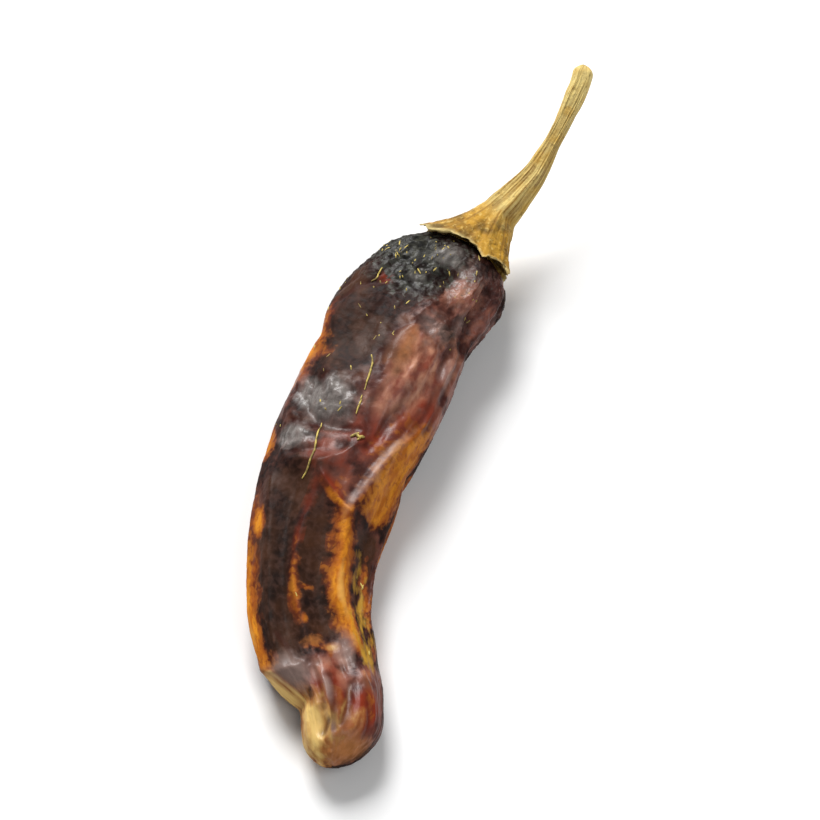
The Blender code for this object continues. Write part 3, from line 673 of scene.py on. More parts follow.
# %% Make the stem's mesh
STEM_AROUND, UNDER_ROWS, OUTER_ROWS, STEM_ROWS, END_ROWS = 216, 24, 80, 150, 14
share_under, angle_under = chart(np.arange(1, UNDER_ROWS + 1) / UNDER_ROWS, STEM_AROUND)
share_outer, angle_outer = chart(np.arange(OUTER_ROWS) / OUTER_ROWS, STEM_AROUND)
end = STEM_LENGTH - cap_steps(STEM_END_ROUNDING, END_ROWS)[-2::-1]
distance, angle_stem = chart(
    np.concatenate([np.linspace(NECK, STEM_LENGTH - STEM_END_ROUNDING, STEM_ROWS), end]), STEM_AROUND
)
stem_angle = np.concatenate([angle_under, angle_outer, angle_stem])
UNDER_REACH, FIBRE_RADIUS, RIM_FADE, CAP_SHARE, CAP_FADE = 4, 3, 0.7, 1.6, 6
# Where each ring lies along the fibres: below 0 under the cap, 0 at the rim, and up to the stem's length
along = np.concatenate([-UNDER_REACH * (1 - share_under), NECK * share_outer, distance])
under, outer = calyx_under(share_under, angle_under), calyx_outer(share_outer, angle_outer)
fibre = [FIBRE_RADIUS * np.cos(stem_angle), FIBRE_RADIUS * np.sin(stem_angle), along]
stem = skinned(
    "stem_and_calyx",
    pod_end(0) + CALYX_CLEARANCE * stem_frame()[1],
    np.concatenate([under, outer, stem_surface(distance, angle_stem)]),
    stem_middle(np.array(STEM_LENGTH)),
    {
        "fibre": np.stack(fibre, axis=-1),
        "along": along,
        "rib": np.cos(RIB_COUNT * stem_angle + RIB_TWIST * along),
        "rim": np.exp(-np.abs(along) / RIM_FADE),
        "cap": np.clip(CAP_SHARE - np.abs(along) / CAP_FADE, 0, 1),
    },
)
print("stem and calyx:", 2 * STEM_AROUND * len(along), "triangles")

# %% [markdown]
# ## Node helpers
#
# A node tree is made by adding nodes and linking their sockets. One small function does both: it adds a node,
# sets its properties, and fills each input with a value or with a link from another node. A second function
# turns the usual web colour code, which is stored for screens, into the linear numbers that light is
# calculated with.


# %% One function adds a node
def add(tree, kind, inputs=(), **settings):
    made = tree.nodes.new(kind)
    for key, value in settings.items():
        setattr(made, key, value)
    for key, value in dict(inputs).items():
        if isinstance(value, bpy.types.NodeSocket):
            tree.links.new(value, made.inputs[key])
        else:
            made.inputs[key].default_value = value
    return made


def linear(code):
    screen = np.array([int(code[i : i + 2], 16) / 255 for i in (1, 3, 5)])
    light = np.where(screen <= 0.04045, screen / 12.92, ((screen + 0.055) / 1.055) ** 2.4)
    return (*light.tolist(), 1.0)


# %% [markdown]
# ## Fine wrinkles with Geometry Nodes
#
# Between the folds the skin is crazed with small creases, and the straw has lengthwise fibres. Both are a noise
# pattern that pushes the surface in, so one node group serves both. Its inputs say how deep and how wide the
# creases are, how much longer than wide, how sharp, and on which area of the skin they are deepest. The pattern
# reads the straightened place on the skin, so it bends with the pod. Only pushing in keeps the piece inside the
# size it had. A piece gets a tree with a few such layers.


# %% Begin, end and apply a tree
PIECE_INPUTS = [("Geometry", "Geometry", None), ("Material", "Material", None)]


def begin_tree(name, inputs, output="Geometry", output_kind="Geometry"):
    tree = bpy.data.node_groups.new(name, "GeometryNodeTree")
    for label, kind, value in inputs:
        socket = tree.interface.new_socket(label, in_out="INPUT", socket_type="NodeSocket" + kind)
        if value is not None:
            socket.default_value = value
    tree.interface.new_socket(output, in_out="OUTPUT", socket_type="NodeSocket" + output_kind)
    return tree, add(tree, "NodeGroupInput").outputs


def end_tree(tree, geometry, material):
    real = add(tree, "GeometryNodeRealizeInstances", {"Geometry": geometry})
    clad = add(tree, "GeometryNodeSetMaterial", {"Geometry": real.outputs[0], "Material": material})
    add(tree, "NodeGroupOutput", {"Geometry": clad.outputs[0]})
    return tree


def apply_tree(piece, tree, inputs):
    modifier = piece.modifiers.new(tree.name, "NODES")
    modifier.node_group = tree
    for item in tree.interface.items_tree:
        if item.in_out == "INPUT" and item.name in inputs:
            modifier[item.identifier] = inputs[item.name]
    graph = bpy.context.evaluated_depsgraph_get()
    finished = piece.evaluated_get(graph)
    mesh = bpy.data.meshes.new_from_object(finished, preserve_all_data_layers=True, depsgraph=graph)
    piece.modifiers.remove(modifier)
    piece.data = mesh
    mesh.name = piece.name
    print(piece.name, "has", sum(len(face.vertices) - 2 for face in mesh.polygons), "triangles")


# %% One layer of creases
LAYER_SIZES = {"Size": 1.0, "Stretch": 1.0, "Depth": 0.1, "Softness": 0.1, "Everywhere": 1.0, "Seed": 0.0}
CREASE_DETAIL, CREASE_BEND = 1.5, 0.5


def crease_group():
    inputs = [("Place", "String", None), ("Area", "String", None)]
    inputs += [(name, "Float", value) for name, value in LAYER_SIZES.items()]
    tree, given = begin_tree("One layer of creases", inputs, "Push", "Float")
    place = add(tree, "GeometryNodeInputNamedAttribute", {"Name": given["Place"]}, data_type="FLOAT_VECTOR")
    where = add(tree, "GeometryNodeInputNamedAttribute", {"Name": given["Area"]}, data_type="FLOAT")
    shorten = add(tree, "ShaderNodeMath", {0: 1.0, 1: given["Stretch"]}, operation="DIVIDE")
    squeeze = add(tree, "ShaderNodeCombineXYZ", {"X": 1.0, "Y": 1.0, "Z": shorten.outputs[0]})
    point = add(tree, "ShaderNodeVectorMath", {0: place.outputs[0], 1: squeeze.outputs[0]}, operation="MULTIPLY")
    scale = add(tree, "ShaderNodeMath", {0: 1.0, 1: given["Size"]}, operation="DIVIDE")
    pattern = {"Vector": point.outputs[0], "W": given["Seed"], "Scale": scale.outputs[0]}
    pattern.update({"Detail": CREASE_DETAIL, "Distortion": CREASE_BEND})
    noise = add(tree, "ShaderNodeTexNoise", pattern, noise_dimensions="4D")
    # Noise passes through 0.5 along wandering lines, and those lines become the creases
    centred = add(tree, "ShaderNodeMath", {0: noise.outputs[0], 1: 0.5}, operation="SUBTRACT")
    folded = add(tree, "ShaderNodeMath", {0: centred.outputs[0]}, operation="ABSOLUTE")
    profile = {"Value": folded.outputs[0], "From Max": given["Softness"], "To Min": -1.0, "To Max": 0.0}
    crease = add(tree, "ShaderNodeMapRange", profile, interpolation_type="SMOOTHSTEP")
    share = add(tree, "ShaderNodeMath", {0: where.outputs[0], 1: given["Everywhere"]}, use_clamp=True)
    deep = add(tree, "ShaderNodeMath", {0: share.outputs[0], 1: given["Depth"]}, operation="MULTIPLY")
    push = add(tree, "ShaderNodeMath", {0: crease.outputs[0], 1: deep.outputs[0]}, operation="MULTIPLY")
    add(tree, "NodeGroupOutput", {"Push": push.outputs[0]})
    return tree


one_layer = crease_group()

# %% A tree of layers
# A layer is (area, size in mm, stretch, depth in mm, softness, share everywhere)
SKIN_LAYERS = [
    ("red", 3.4, 4.0, 0.28, 0.2, 0.2),
    ("scab", 1.6, 1.3, 0.36, 0.1, 0.06),
    ("shoulder", 2.2, 1.3, 0.34, 0.1, 0.1),
    ("painted_highlight_area", 1.3, 1.8, 0.24, 0.12, 0.15),
]
STRAW_LAYERS = [
    ("rib", 2.0, 9.0, 0.16, 0.12, 1.0),
    ("rib", 0.8, 9.0, 0.07, 0.12, 1.0),
    ("cap", 2.2, 5.0, 0.34, 0.16, 0.0),
    ("cap", 1.0, 1.6, 0.1, 0.12, 0.0),
]
FIRST_SEED = 3.0


def crease_tree(name, place, layers):
    tree, given = begin_tree(name, [*PIECE_INPUTS, ("Depth", "Float", 1.0)])
    total = 0.0
    for number, (where, size, stretch, depth, softness, everywhere) in enumerate(layers):
        sizes = {"Place": place, "Area": where, "Size": size, "Stretch": stretch, "Depth": depth * MM}
        sizes.update({"Softness": softness, "Everywhere": everywhere, "Seed": FIRST_SEED + number})
        layer = add(tree, "GeometryNodeGroup", sizes, node_tree=one_layer)
        total = add(tree, "ShaderNodeMath", {0: total, 1: layer.outputs[0]}).outputs[0]
    total = add(tree, "ShaderNodeMath", {0: total, 1: given["Depth"]}, operation="MULTIPLY").outputs[0]
    normal = add(tree, "GeometryNodeInputNormal")
    offset = add(tree, "ShaderNodeVectorMath", {0: normal.outputs[0], "Scale": total}, operation="SCALE")
    moved = add(tree, "GeometryNodeSetPosition", {"Geometry": given["Geometry"], "Offset": offset.outputs[0]})
    return end_tree(tree, moved.outputs[0], given["Material"])


print(len(SKIN_LAYERS), "layers of creases on the skin and", len(STRAW_LAYERS), "on the straw")

# %% [markdown]
# ## Material: the pod's skin
#
# Dried chili skin is a thin, waxy leather, air dried. To the eye it is deep maroon to nearly black with a soft
# grey shine that small wrinkles break up, and it glows amber where it is thin. Such skin has marks of several
# sizes, so the material starts with five noise patterns. Their sizes are real ones, in mm, because the
# straightened place on the skin is in mm too. Streaks and crinkles are drawn out along the pod, as folds are.


# %% A new material
def new_material(name, finish):
    made = bpy.data.materials.new(name)
    made.use_nodes = True
    shader = made.node_tree.nodes["Principled BSDF"]
    for key, value in finish.items():
        shader.inputs[key].default_value = value
    return made, made.node_tree, shader


# %% Patterns of the skin
# The skin itself barely shines. What shines is its wax, a clear coat over it
SKIN_FINISH = {"IOR": 1.45, "Specular IOR Level": 0.08, "Coat Roughness": 0.38}
LENGTHWISE = (1, 1, 0.45)
skin, tree, shader = new_material("Waxy air-dried chili skin", SKIN_FINISH)
place = add(tree, "ShaderNodeAttribute", attribute_name="flat_skin").outputs["Vector"]
long = add(tree, "ShaderNodeMapping", {"Vector": place, "Scale": LENGTHWISE}).outputs[0]
# A pattern is (where, size in mm, detail, distortion)
patterns = {
    "blotch": (place, 4.0, 7.0, 0.0),
    "streak": (long, 1.6, 6.0, 0.0),
    "mottle": (place, 1.0, 5.0, 0.5),
    "grain": (place, 0.4, 2.0, 0.0),
    "crinkle": (long, 0.9, 3.0, 0.6),
}
noises = []
for where, size, detail, distortion in patterns.values():
    pattern = {"Vector": where, "Scale": 1 / size, "Detail": detail, "Distortion": distortion}
    noises.append(add(tree, "ShaderNodeTexNoise", pattern).outputs[0])
blotch, streak, mottle, grain, crinkle = noises
on_fold, wrinkle_shade, near_calyx = (
    add(tree, "ShaderNodeAttribute", attribute_name=name).outputs["Fac"] for name in ("fold", "sunk", "shoulder")
)
print("skin patterns:", ", ".join(patterns))

# %% [markdown]
# The areas that were drawn on the mesh end softly, while real patches have ragged edges. So a noise is added to
# an area before it is cut off, and only where the area has begun, to leave no specks far from it. A coat then
# lays a colour over what is below it, as thickly as a pattern or an area says.

# %% Ragged areas and coats of colour
AREA_BEGINS = 0.12


def ragged(tree, name, noise, low, high, raggedness=2.0):
    drawn = add(tree, "ShaderNodeAttribute", attribute_name=name).outputs["Fac"]
    shift = {0: noise, 1: raggedness, 2: -0.5 * raggedness}
    shift = add(tree, "ShaderNodeMath", shift, operation="MULTIPLY_ADD").outputs[0]
    inside = add(tree, "ShaderNodeMath", {0: drawn, 1: AREA_BEGINS}, operation="GREATER_THAN").outputs[0]
    shift = add(tree, "ShaderNodeMath", {0: shift, 1: inside}, operation="MULTIPLY").outputs[0]
    shifted = add(tree, "ShaderNodeMath", {0: drawn, 1: shift}).outputs[0]
    return add(tree, "ShaderNodeMapRange", {"Value": shifted, "From Min": low, "From Max": high}).outputs[0]


def coat(tree, below, colour, pattern, low=0.0, high=1.0, least=0.0, most=1.0):
    below, colour = (linear(one) if isinstance(one, str) else one for one in (below, colour))
    share = {"Value": pattern, "From Min": low, "From Max": high, "To Min": least, "To Max": most}
    share = add(tree, "ShaderNodeMapRange", share).outputs[0]
    return add(tree, "ShaderNodeMix", {"Factor": share, 6: below, 7: colour}, data_type="RGBA").outputs[2]


red = ragged(tree, "red", blotch, 0.25, 0.8)
thick = ragged(tree, "panel", blotch, 0.3, 0.8)
fiery = ragged(tree, "ember", blotch, 0.2, 0.9, 1.6)
# Half blotch and half mottle gives the amber an edge with both bays and crumbs
torn = add(tree, "ShaderNodeMix", {0: 0.5, 2: blotch, 3: mottle}).outputs[0]
thin = ragged(tree, "amber", torn, 0.3, 0.85)
crusty = ragged(tree, "scab", mottle, 0.3, 0.75)
# Share of the painted highlight patches
highlight_share = ragged(tree, "painted_highlight_area", blotch, 0.25, 0.9, 1.2)
# Share of the painted sheen
smooth = ragged(tree, "painted_sheen_area", blotch, 0.2, 0.9, 1.0)

# %% [markdown]
# The base is dark maroon with mottling. Over it come the red flesh, the bulge's red with a streaky painted sheen,
# the nearly black panels where the flesh was thick, and the honey colour of thin skin, with a paler painted glow
# where the amber area is strongest. The tip has dried to tan, wrinkles are darkened with painted shade, and the
# crust near the calyx is black. Last come painted highlights: pale grey patches on the knobs and near the calyx,
# and a smooth grey painted sheen on a ridge crest and a few patches.

# %% Colours of the skin
colour = coat(tree, "#1a0f0d", "#3a231d", mottle, 0.35, 0.68)
flesh = coat(tree, "#4c2019", "#7f4b3d", blotch, 0.36, 0.64)
# Pale pinkish red: the red skin with a painted sheen on it
red_with_painted_sheen = coat(tree, "#82402e", "#bd8569", streak, 0.38, 0.6)
brown = coat(tree, "#1d110c", "#42281a", blotch, 0.36, 0.66)
brown = coat(tree, brown, "#59403a", mottle, 0.46, 0.72, 0.0, 0.28)
honey = coat(tree, "#b0641a", "#cf8422", streak, 0.42, 0.58)
honey = coat(tree, honey, "#83431a", mottle, 0.54, 0.7, 0.0, 0.6)
crust = coat(tree, "#12110e", "#3d3c34", mottle, 0.42, 0.68)
cracks = {"Value": crinkle, "From Min": 0.38, "From Max": 0.58, "To Min": 0.45, "To Max": 0.8}
cracks = add(tree, "ShaderNodeMapRange", cracks).outputs[0]
# Painted highlight: pale grey, broken up by the crinkle pattern
painted_grey_highlight = add(tree, "ShaderNodeMath", {0: highlight_share, 1: cracks}, operation="MULTIPLY").outputs[0]
# A coat is (colour, pattern), or (colour, pattern, low, high, least, most)
for one in (
    (flesh, red),
    # The bulge's red with a painted sheen
    (red_with_painted_sheen, ragged(tree, "red_with_painted_sheen", blotch, 0.2, 1.0)),
    # Painted glow, pale orange
    ("#c07c40", ragged(tree, "painted_glow", blotch, 0.2, 1.1, 1.0)),
    # Painted highlight: raised folds are tinted a lighter red-brown
    ("#733823", on_fold, 0.6, 2.4, 0.0, 0.15),
    (brown, thick),
    ("#7d2c16", fiery),
    ("#74351a", ragged(tree, "amber", blotch, 0.2, 0.5, 1.2)),
    (honey, thin),
    # A paler painted glow where the amber area is strongest
    ("#d39a4a", ragged(tree, "amber", blotch, 1.1, 1.5, 1.0)),
    ("#9a6334", ragged(tree, "tan", blotch, 0.15, 0.55, 1.6)),
    ("#d9b56c", ragged(tree, "tan", blotch, 0.45, 1.05, 1.8)),
    ("#a97f2c", ragged(tree, "olive", streak, 0.35, 0.8, 2.2)),
    # Painted shade: darker the deeper a wrinkle sinks the skin
    ("#3a1712", wrinkle_shade, 0.12, 0.42, 0.0, 0.65),
    (crust, crusty),
    # Painted highlight on the knobs
    ("#87807b", painted_grey_highlight),
    # Painted sheen: smooth grey
    ("#957d74", smooth, 0.0, 1.0, 0.0, 0.75),
):
    colour = coat(tree, colour, *one)
tree.links.new(colour, shader.inputs["Base Color"])

# %% [markdown]
# Bare skin is dull, and the sunny side is smoother and so glossier. The wax is thickest on the patches with a
# painted highlight, some is left on the red, on the painted sheen and on the crust, and little on the dark, amber
# and fiery areas. A fine bump stands for crinkles and pores that are too small to model. It is strongest near
# the calyx and on the patches with a painted highlight.

# %% Shine and relief of the skin
dull = {"Value": mottle, "From Min": 0.3, "From Max": 0.75, "To Min": 0.5, "To Max": 0.66}
dull = add(tree, "ShaderNodeMapRange", dull).outputs[0]
gloss = add(tree, "ShaderNodeMapRange", {"Value": red, "To Min": 0.0, "To Max": 0.16}).outputs[0]
rough = add(tree, "ShaderNodeMath", {0: dull, 1: gloss}, operation="SUBTRACT").outputs[0]
tree.links.new(rough, shader.inputs["Roughness"])
BARE_WAX = 0.04
waxy = highlight_share
for where, gives in ((red, 0.5), (smooth, 0.5), (crusty, 0.3)):
    waxy = add(tree, "ShaderNodeMath", {0: where, 1: gives, 2: waxy}, operation="MULTIPLY_ADD").outputs[0]
for where, leaves in ((thick, 0.2), (thin, 0.4), (fiery, 0.4)):
    left = add(tree, "ShaderNodeMapRange", {"Value": where, "To Min": 1.0, "To Max": leaves}).outputs[0]
    waxy = add(tree, "ShaderNodeMath", {0: waxy, 1: left}, operation="MULTIPLY").outputs[0]
waxy = add(tree, "ShaderNodeMath", {0: waxy, 1: BARE_WAX}, use_clamp=True).outputs[0]
tree.links.new(waxy, shader.inputs["Coat Weight"])
HIGHLIGHT_CRINKLES, CRINKLE_SHARE, SKIN_BUMP = 0.55, 1.5, 0.2 * MM
crazed = add(tree, "ShaderNodeMath", {0: highlight_share, 1: HIGHLIGHT_CRINKLES}, operation="MULTIPLY").outputs[0]
crazed = add(tree, "ShaderNodeMath", {0: near_calyx, 1: crazed}, operation="MAXIMUM").outputs[0]
strength = add(tree, "ShaderNodeMapRange", {"Value": crazed, "To Min": 0.14, "To Max": 0.7}).outputs[0]
both = {0: crinkle, 1: CRINKLE_SHARE, 2: grain}
both = add(tree, "ShaderNodeMath", both, operation="MULTIPLY_ADD").outputs[0]
bump = add(tree, "ShaderNodeBump", {"Height": both, "Distance": SKIN_BUMP, "Strength": strength}).outputs[0]
for socket in ("Normal", "Coat Normal"):
    tree.links.new(bump, shader.inputs[socket])
print("skin material:", len(tree.nodes), "nodes")
apply_tree(pod, crease_tree("Creases of the skin", "flat_skin", SKIN_LAYERS), {"Material": skin})

# %% [markdown]
# ## Material: the straw of the stem and calyx
#
# The stem is woody straw, air dried, with fibres that run its whole length. It is matte, golden, and paler
# towards its cut end; its furrows are darkened brown with painted shade, so its ribs look paler. The calyx is
# scalier and browner, with small light and dark specks, and its nibbled rim is painted pale, a paler thin edge
# with a painted highlight along it. The fibres are noise that is drawn out twenty times along the stem, and
# the patches and specks are plain noise.

# %% Patterns of the straw
STRAW_FINISH = {"Roughness": 0.65, "IOR": 1.5, "Specular IOR Level": 0.2}
ALONG_FIBRES = (1, 1, 0.05)
# Fibres 0.35 mm wide, counted in mm. Object coordinates are in metres: patches of 3 mm and specks of 0.7 mm
FIBRE_SIZE, PATCH_SIZE, SPECK_SIZE = 0.35, 3 * MM, 0.7 * MM
straw, tree, shader = new_material("Air-dried straw", STRAW_FINISH)
place = add(tree, "ShaderNodeTexCoord").outputs["Object"]
fibre = add(tree, "ShaderNodeAttribute", attribute_name="fibre").outputs["Vector"]
long = add(tree, "ShaderNodeMapping", {"Vector": fibre, "Scale": ALONG_FIBRES}).outputs[0]
fibres = add(tree, "ShaderNodeTexNoise", {"Vector": long, "Scale": 1 / FIBRE_SIZE, "Detail": 4.0}).outputs[0]
patch = add(tree, "ShaderNodeTexNoise", {"Vector": place, "Scale": 1 / PATCH_SIZE, "Detail": 6.0}).outputs[0]
speck = {"Vector": place, "Scale": 1 / SPECK_SIZE, "Detail": 3.0, "Distortion": 0.4}
speck = add(tree, "ShaderNodeTexNoise", speck).outputs[0]
rib, rim, from_rim = (
    add(tree, "ShaderNodeAttribute", attribute_name=name).outputs["Fac"] for name in ("rib", "rim", "along")
)

# %% Colours and relief of the straw
STRAW_BUMP = 0.3 * MM
colour = coat(tree, "#96702c", "#dcc47c", fibres, 0.36, 0.6)
scaly = coat(tree, "#553b0a", "#a87a20", patch, 0.36, 0.6)
for one in (
    # Painted shade: the furrows between the ribs are darker brown
    ("#7a5624", rib, -0.5, -1.0, 0.0, 0.6),
    (scaly, from_rim, 10.0, 5.0, 0.0, 0.9),
    ("#ecd88e", from_rim, 18.0, 32.0, 0.0, 0.5),
    ("#c09230", patch, 0.48, 0.7, 0.0, 0.6),
    ("#dcc072", speck, 0.56, 0.7, 0.0, 0.5),
    ("#5f4018", speck, 0.38, 0.3, 0.0, 0.5),
    ("#7d5c2a", fibres, 0.42, 0.34, 0.0, 0.6),
    # The rim is paler: a paler thin edge with a painted highlight along it
    ("#e8d494", rim, 0.4, 1.0, 0.0, 0.6),
):
    colour = coat(tree, colour, *one)
tree.links.new(colour, shader.inputs["Base Color"])
height = add(tree, "ShaderNodeMath", {0: fibres, 1: speck}).outputs[0]
bump = add(tree, "ShaderNodeBump", {"Height": height, "Strength": 0.7, "Distance": STRAW_BUMP}).outputs[0]
tree.links.new(bump, shader.inputs["Normal"])
print("straw material:", len(tree.nodes), "nodes")
apply_tree(stem, crease_tree("Fibres of the straw", "fibre", STRAW_LAYERS), {"Material": straw})

# %% [markdown]
# ## Bits of dried pith
#
# As a chili dries and is handled, crumbs of pith and shreds of fibre stick to its waxy skin. Pith is spongy, matte
# and a dusty yellow, and each bit has its own shade, from noise 1 mm wide. The crumbs are many and small, so a
# tree scatters them: it picks points on the skin, more of them where the "fleck" area was drawn, and sets a
# small bead on each. A bead lies along the pod, give or take a turn, and is stretched by a random amount.

# %% Pith material
SHADE_SIZE = 1 * MM
pith, tree, shader = new_material("Air-dried pith", {"Roughness": 0.7})
place = add(tree, "ShaderNodeTexCoord").outputs["Object"]
shade = add(tree, "ShaderNodeTexNoise", {"Vector": place, "Scale": 1 / SHADE_SIZE, "Detail": 2.0}).outputs[0]
colour = coat(tree, "#7d6a34", "#cfb860", shade, 0.4, 0.6)
tree.links.new(colour, shader.inputs["Base Color"])

# %% Tree that scatters crumbs
CRUMB_INPUTS = [("Seed", "Int", 4), ("Slimness seed", "Int", 9), ("Crumbs per square cm", "Float", 34.0)]
CRUMB_INPUTS += [("Longest", "Float", 1.5), ("Width", "Float", 0.34)]
SQUARE_CM_IN_METRE = 1e4
CRUMB_TURN, SHORTEST, SLIMMEST, CRUMB_HEIGHT = 0.7, 0.45, 0.4, 0.7


def crumb_tree():
    tree, given = begin_tree("Crumbs of pith", PIECE_INPUTS + CRUMB_INPUTS)
    where = add(tree, "GeometryNodeInputNamedAttribute", {"Name": "fleck"}, data_type="FLOAT").outputs[0]
    density = {0: given["Crumbs per square cm"], 1: SQUARE_CM_IN_METRE}
    density = add(tree, "ShaderNodeMath", density, operation="MULTIPLY").outputs[0]
    density = add(tree, "ShaderNodeMath", {0: density, 1: where}, operation="MULTIPLY").outputs[0]
    scatter = {"Mesh": given["Geometry"], "Density": density, "Seed": given["Seed"]}
    points = add(tree, "GeometryNodeDistributePointsOnFaces", scatter, distribute_method="RANDOM")
    lying = {"Rotation": points.outputs["Rotation"], "Vector": (0, 1, 0)}
    lying = add(tree, "FunctionNodeAlignRotationToVector", lying, axis="Y", pivot_axis="Z").outputs[0]
    turn = {0: (0, 0, -CRUMB_TURN), 1: (0, 0, CRUMB_TURN), "Seed": given["Seed"]}
    turn = add(tree, "FunctionNodeRandomValue", turn, data_type="FLOAT_VECTOR").outputs[0]
    turn = add(tree, "FunctionNodeEulerToRotation", {0: turn}).outputs[0]
    pose = {"Rotation": lying, "Rotate By": turn}
    pose = add(tree, "FunctionNodeRotateRotation", pose, rotation_space="LOCAL").outputs[0]
    short = {2: SHORTEST, 3: 1.0, "Seed": given["Seed"]}
    short = add(tree, "FunctionNodeRandomValue", short, data_type="FLOAT").outputs[1]
    short = add(tree, "ShaderNodeMath", {0: short, 1: 2.0}, operation="POWER").outputs[0]
    length = add(tree, "ShaderNodeMath", {0: given["Longest"], 1: 0.5 * MM}, operation="MULTIPLY").outputs[0]
    length = add(tree, "ShaderNodeMath", {0: length, 1: short}, operation="MULTIPLY").outputs[0]
    slim = {2: SLIMMEST, 3: 1.0, "Seed": given["Slimness seed"]}
    slim = add(tree, "FunctionNodeRandomValue", slim, data_type="FLOAT").outputs[1]
    width = add(tree, "ShaderNodeMath", {0: given["Width"], 1: slim}, operation="MULTIPLY").outputs[0]
    width = add(tree, "ShaderNodeMath", {0: width, 1: 0.5 * MM}, operation="MULTIPLY").outputs[0]
    height = add(tree, "ShaderNodeMath", {0: width, 1: CRUMB_HEIGHT}, operation="MULTIPLY").outputs[0]
    size = add(tree, "ShaderNodeCombineXYZ", {"X": width, "Y": length, "Z": height}).outputs[0]
    bead = add(tree, "GeometryNodeMeshIcoSphere", {"Radius": 1.0, "Subdivisions": 1}).outputs[0]
    made = {"Points": points.outputs["Points"], "Instance": bead, "Rotation": pose, "Scale": size}
    crumbs = add(tree, "GeometryNodeInstanceOnPoints", made).outputs[0]
    return end_tree(tree, crumbs, given["Material"])


crumbs = placed("pith_crumbs", pod.data.copy())
apply_tree(crumbs, crumb_tree(), {"Material": pith})

# %% [markdown]
# The few long shreds each have a place of their own. So each is drawn as a line on the skin, and a tree gives
# the lines a thickness. The creases have sunk the skin a little, so every point of a line first moves to the
# finished skin nearest to it. It then rises by a part of the shred's half thickness, which beds the shred in.

# %% Lines of the shreds
# A shred is (half thickness in mm, places on the skin)
SHREDS = [
    (0.17, [(29, 97), (30.5, 93), (33, 91), (35.5, 89.5)]),
    (0.15, [(36.5, 90), (38, 88.5), (40, 88)]),
    (0.18, [(42.6, 111), (45, 109.5), (47.6, 107.5), (49.6, 107.6), (51.6, 109), (53, 112)]),
    (0.26, [(43.2, 74.5), (43.6, 78.5)]),
    (0.3, [(43.9, 77), (43.3, 82)]),
    (0.24, [(42.9, 80), (44.1, 85)]),
    (0.18, [(43.0, 76), (44.4, 79)]),
    (0.14, [(14, 128), (16, 126), (17, 127)]),
]
SHRED_STEPS, SHRED_RISE = 24, 0.6
# A shred's ends are this share of its thickness, and the line's ends are cut this much before they close
SHRED_END, END_CUT = 0.35, 0.02
steps = np.linspace(0, 1, SHRED_STEPS)
swell = SHRED_END + (1 - SHRED_END) * np.sqrt(np.sin(np.pi * np.clip(steps, END_CUT, 1 - END_CUT)))
finished_skin = BVHTree.FromObject(pod, bpy.context.evaluated_depsgraph_get())
points, edges, thickness = [], [], []
for half, places in SHREDS:
    at = through([(i / (len(places) - 1), *place) for i, place in enumerate(places)], steps)
    line = pod_surface(at[:, 0], np.radians(at[:, 1]))
    line[:, :2] -= FOOTPRINT_MIDDLE
    nearest = [finished_skin.find_nearest(tuple(point))[:2] for point in line * MM]
    edges += [(len(points) + i, len(points) + i + 1) for i in range(SHRED_STEPS - 1)]
    points += [tuple(place + SHRED_RISE * half * MM * out) for place, out in nearest]
    thickness += (half * swell).tolist()
lines = bpy.data.meshes.new("pith_shreds")
lines.from_pydata(points, edges, [])
lines.attributes.new("thickness", "FLOAT", "POINT").data.foreach_set("value", thickness)


# %% Tree that thickens shreds
def shred_tree():
    tree, given = begin_tree("Shreds of fibre", [*PIECE_INPUTS, ("Sides", "Int", 8)])
    line = add(tree, "GeometryNodeMeshToCurve", {"Mesh": given["Geometry"]}).outputs[0]
    thick = add(tree, "GeometryNodeInputNamedAttribute", {"Name": "thickness"}, data_type="FLOAT").outputs[0]
    ring = add(tree, "GeometryNodeCurvePrimitiveCircle", {"Resolution": given["Sides"], "Radius": MM}).outputs[0]
    tube = {"Curve": line, "Profile Curve": ring, "Scale": thick, "Fill Caps": True}
    tube = add(tree, "GeometryNodeCurveToMesh", tube).outputs[0]
    return end_tree(tree, tube, given["Material"])


shreds = placed("pith_shreds", lines)
apply_tree(shreds, shred_tree(), {"Material": pith})

# %% [markdown]
# ## Floor, light and camera
#
# The pepper lies on a plain white table under a large soft light, as in a studio. A big light gives the waxy
# skin its broad grey shine, and a weak one from the other side opens the shadow. The camera looks down steeply
# with a long lens, which keeps the shape true.

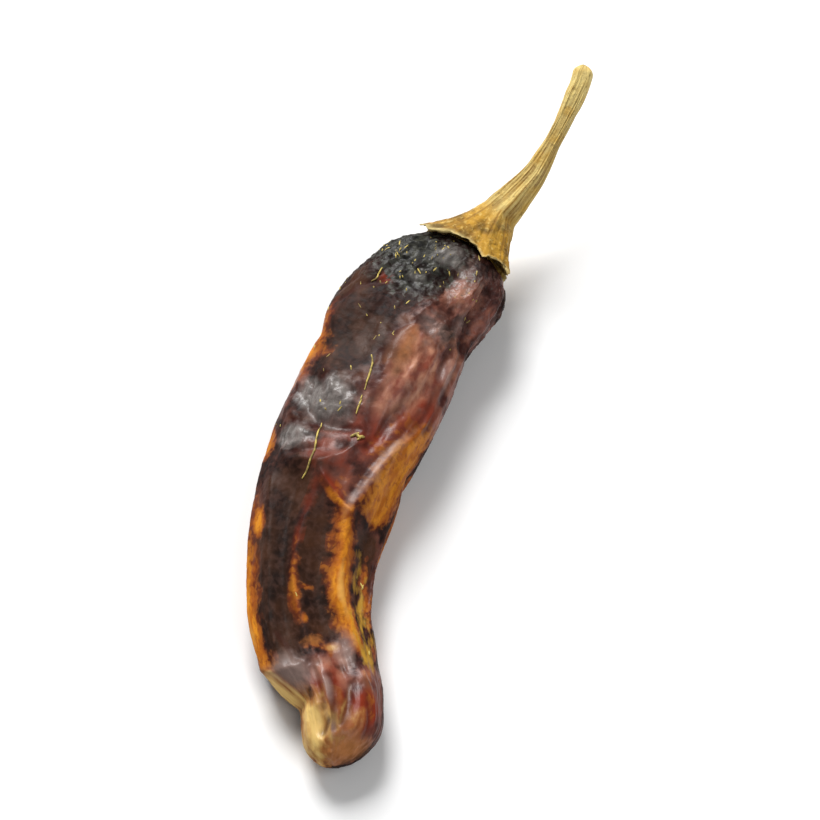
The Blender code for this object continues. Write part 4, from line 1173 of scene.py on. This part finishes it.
# %% Floor
FLOOR_HALF, FLOOR_DROP = 3, 1e-4
floor_mesh = bpy.data.meshes.new("floor")
corners = [(x * FLOOR_HALF, y * FLOOR_HALF, -FLOOR_DROP) for x, y in ((-1, -1), (1, -1), (1, 1), (-1, 1))]
floor_mesh.from_pydata(corners, [], [(0, 1, 2, 3)])
floor = placed("floor", floor_mesh)
paper = new_material("Matte white paper", {"Base Color": linear("#f4f4f4"), "Roughness": 0.9})[0]
floor_mesh.materials.append(paper)

# %% Light
WORLD_STRENGTH = 0.2
world = bpy.data.worlds.new("Studio")
bpy.context.scene.world = world
world.use_nodes = True
world.node_tree.nodes["Background"].inputs["Color"].default_value = (1, 1, 1, 1)
world.node_tree.nodes["Background"].inputs["Strength"].default_value = WORLD_STRENGTH


def aim(thing, place, target):
    thing.location = place
    thing.rotation_euler = (Vector(target) - Vector(place)).to_track_quat("-Z", "Y").to_euler()


# A light is (name, place in m, width in m, power in W)
for name, place, width, power in (("key", (-0.35, 0.62, 0.66), 0.5, 14.0), ("fill", (0.5, -0.3, 0.8), 0.6, 3.0)):
    lamp = bpy.data.lights.new(name, "AREA")
    lamp.shape = "RECTANGLE"
    lamp.size = lamp.size_y = width
    lamp.energy = power
    aim(placed(name, lamp), place, (0, 0, 0))
bpy.context.scene.view_settings.view_transform = "Standard"

# %% Camera
LOOK_DOWN, LOOK_ROUND = np.radians(62), np.radians(11.6)
LENS_MM, CAMERA_DISTANCE, NEAREST, FARTHEST = 600, 2.304, 0.01, 10
back = np.array([np.sin(LOOK_ROUND) * np.cos(LOOK_DOWN), -np.cos(LOOK_ROUND) * np.cos(LOOK_DOWN), np.sin(LOOK_DOWN)])
target = np.array([0.0018, 0.0015, 0.008])
lens = bpy.data.cameras.new("camera")
lens.lens = LENS_MM
lens.clip_start, lens.clip_end = NEAREST, FARTHEST
camera = placed("camera", lens)
aim(camera, (target + CAMERA_DISTANCE * back).tolist(), target.tolist())
bpy.context.scene.camera = camera
print("camera:", LENS_MM, "mm lens,", CAMERA_DISTANCE, "m from the pepper")

# %% [markdown]
# ## Tying the pieces to the model
#
# Each finished piece is tied to the model's root, and the solid part it stands for is hidden.

# %% Finish
for piece, node in ((pod, "pod"), (stem, "stem_calyx")):
    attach(piece, "root")
    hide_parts(node)
for piece in (crumbs, shreds):
    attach(piece, "root")
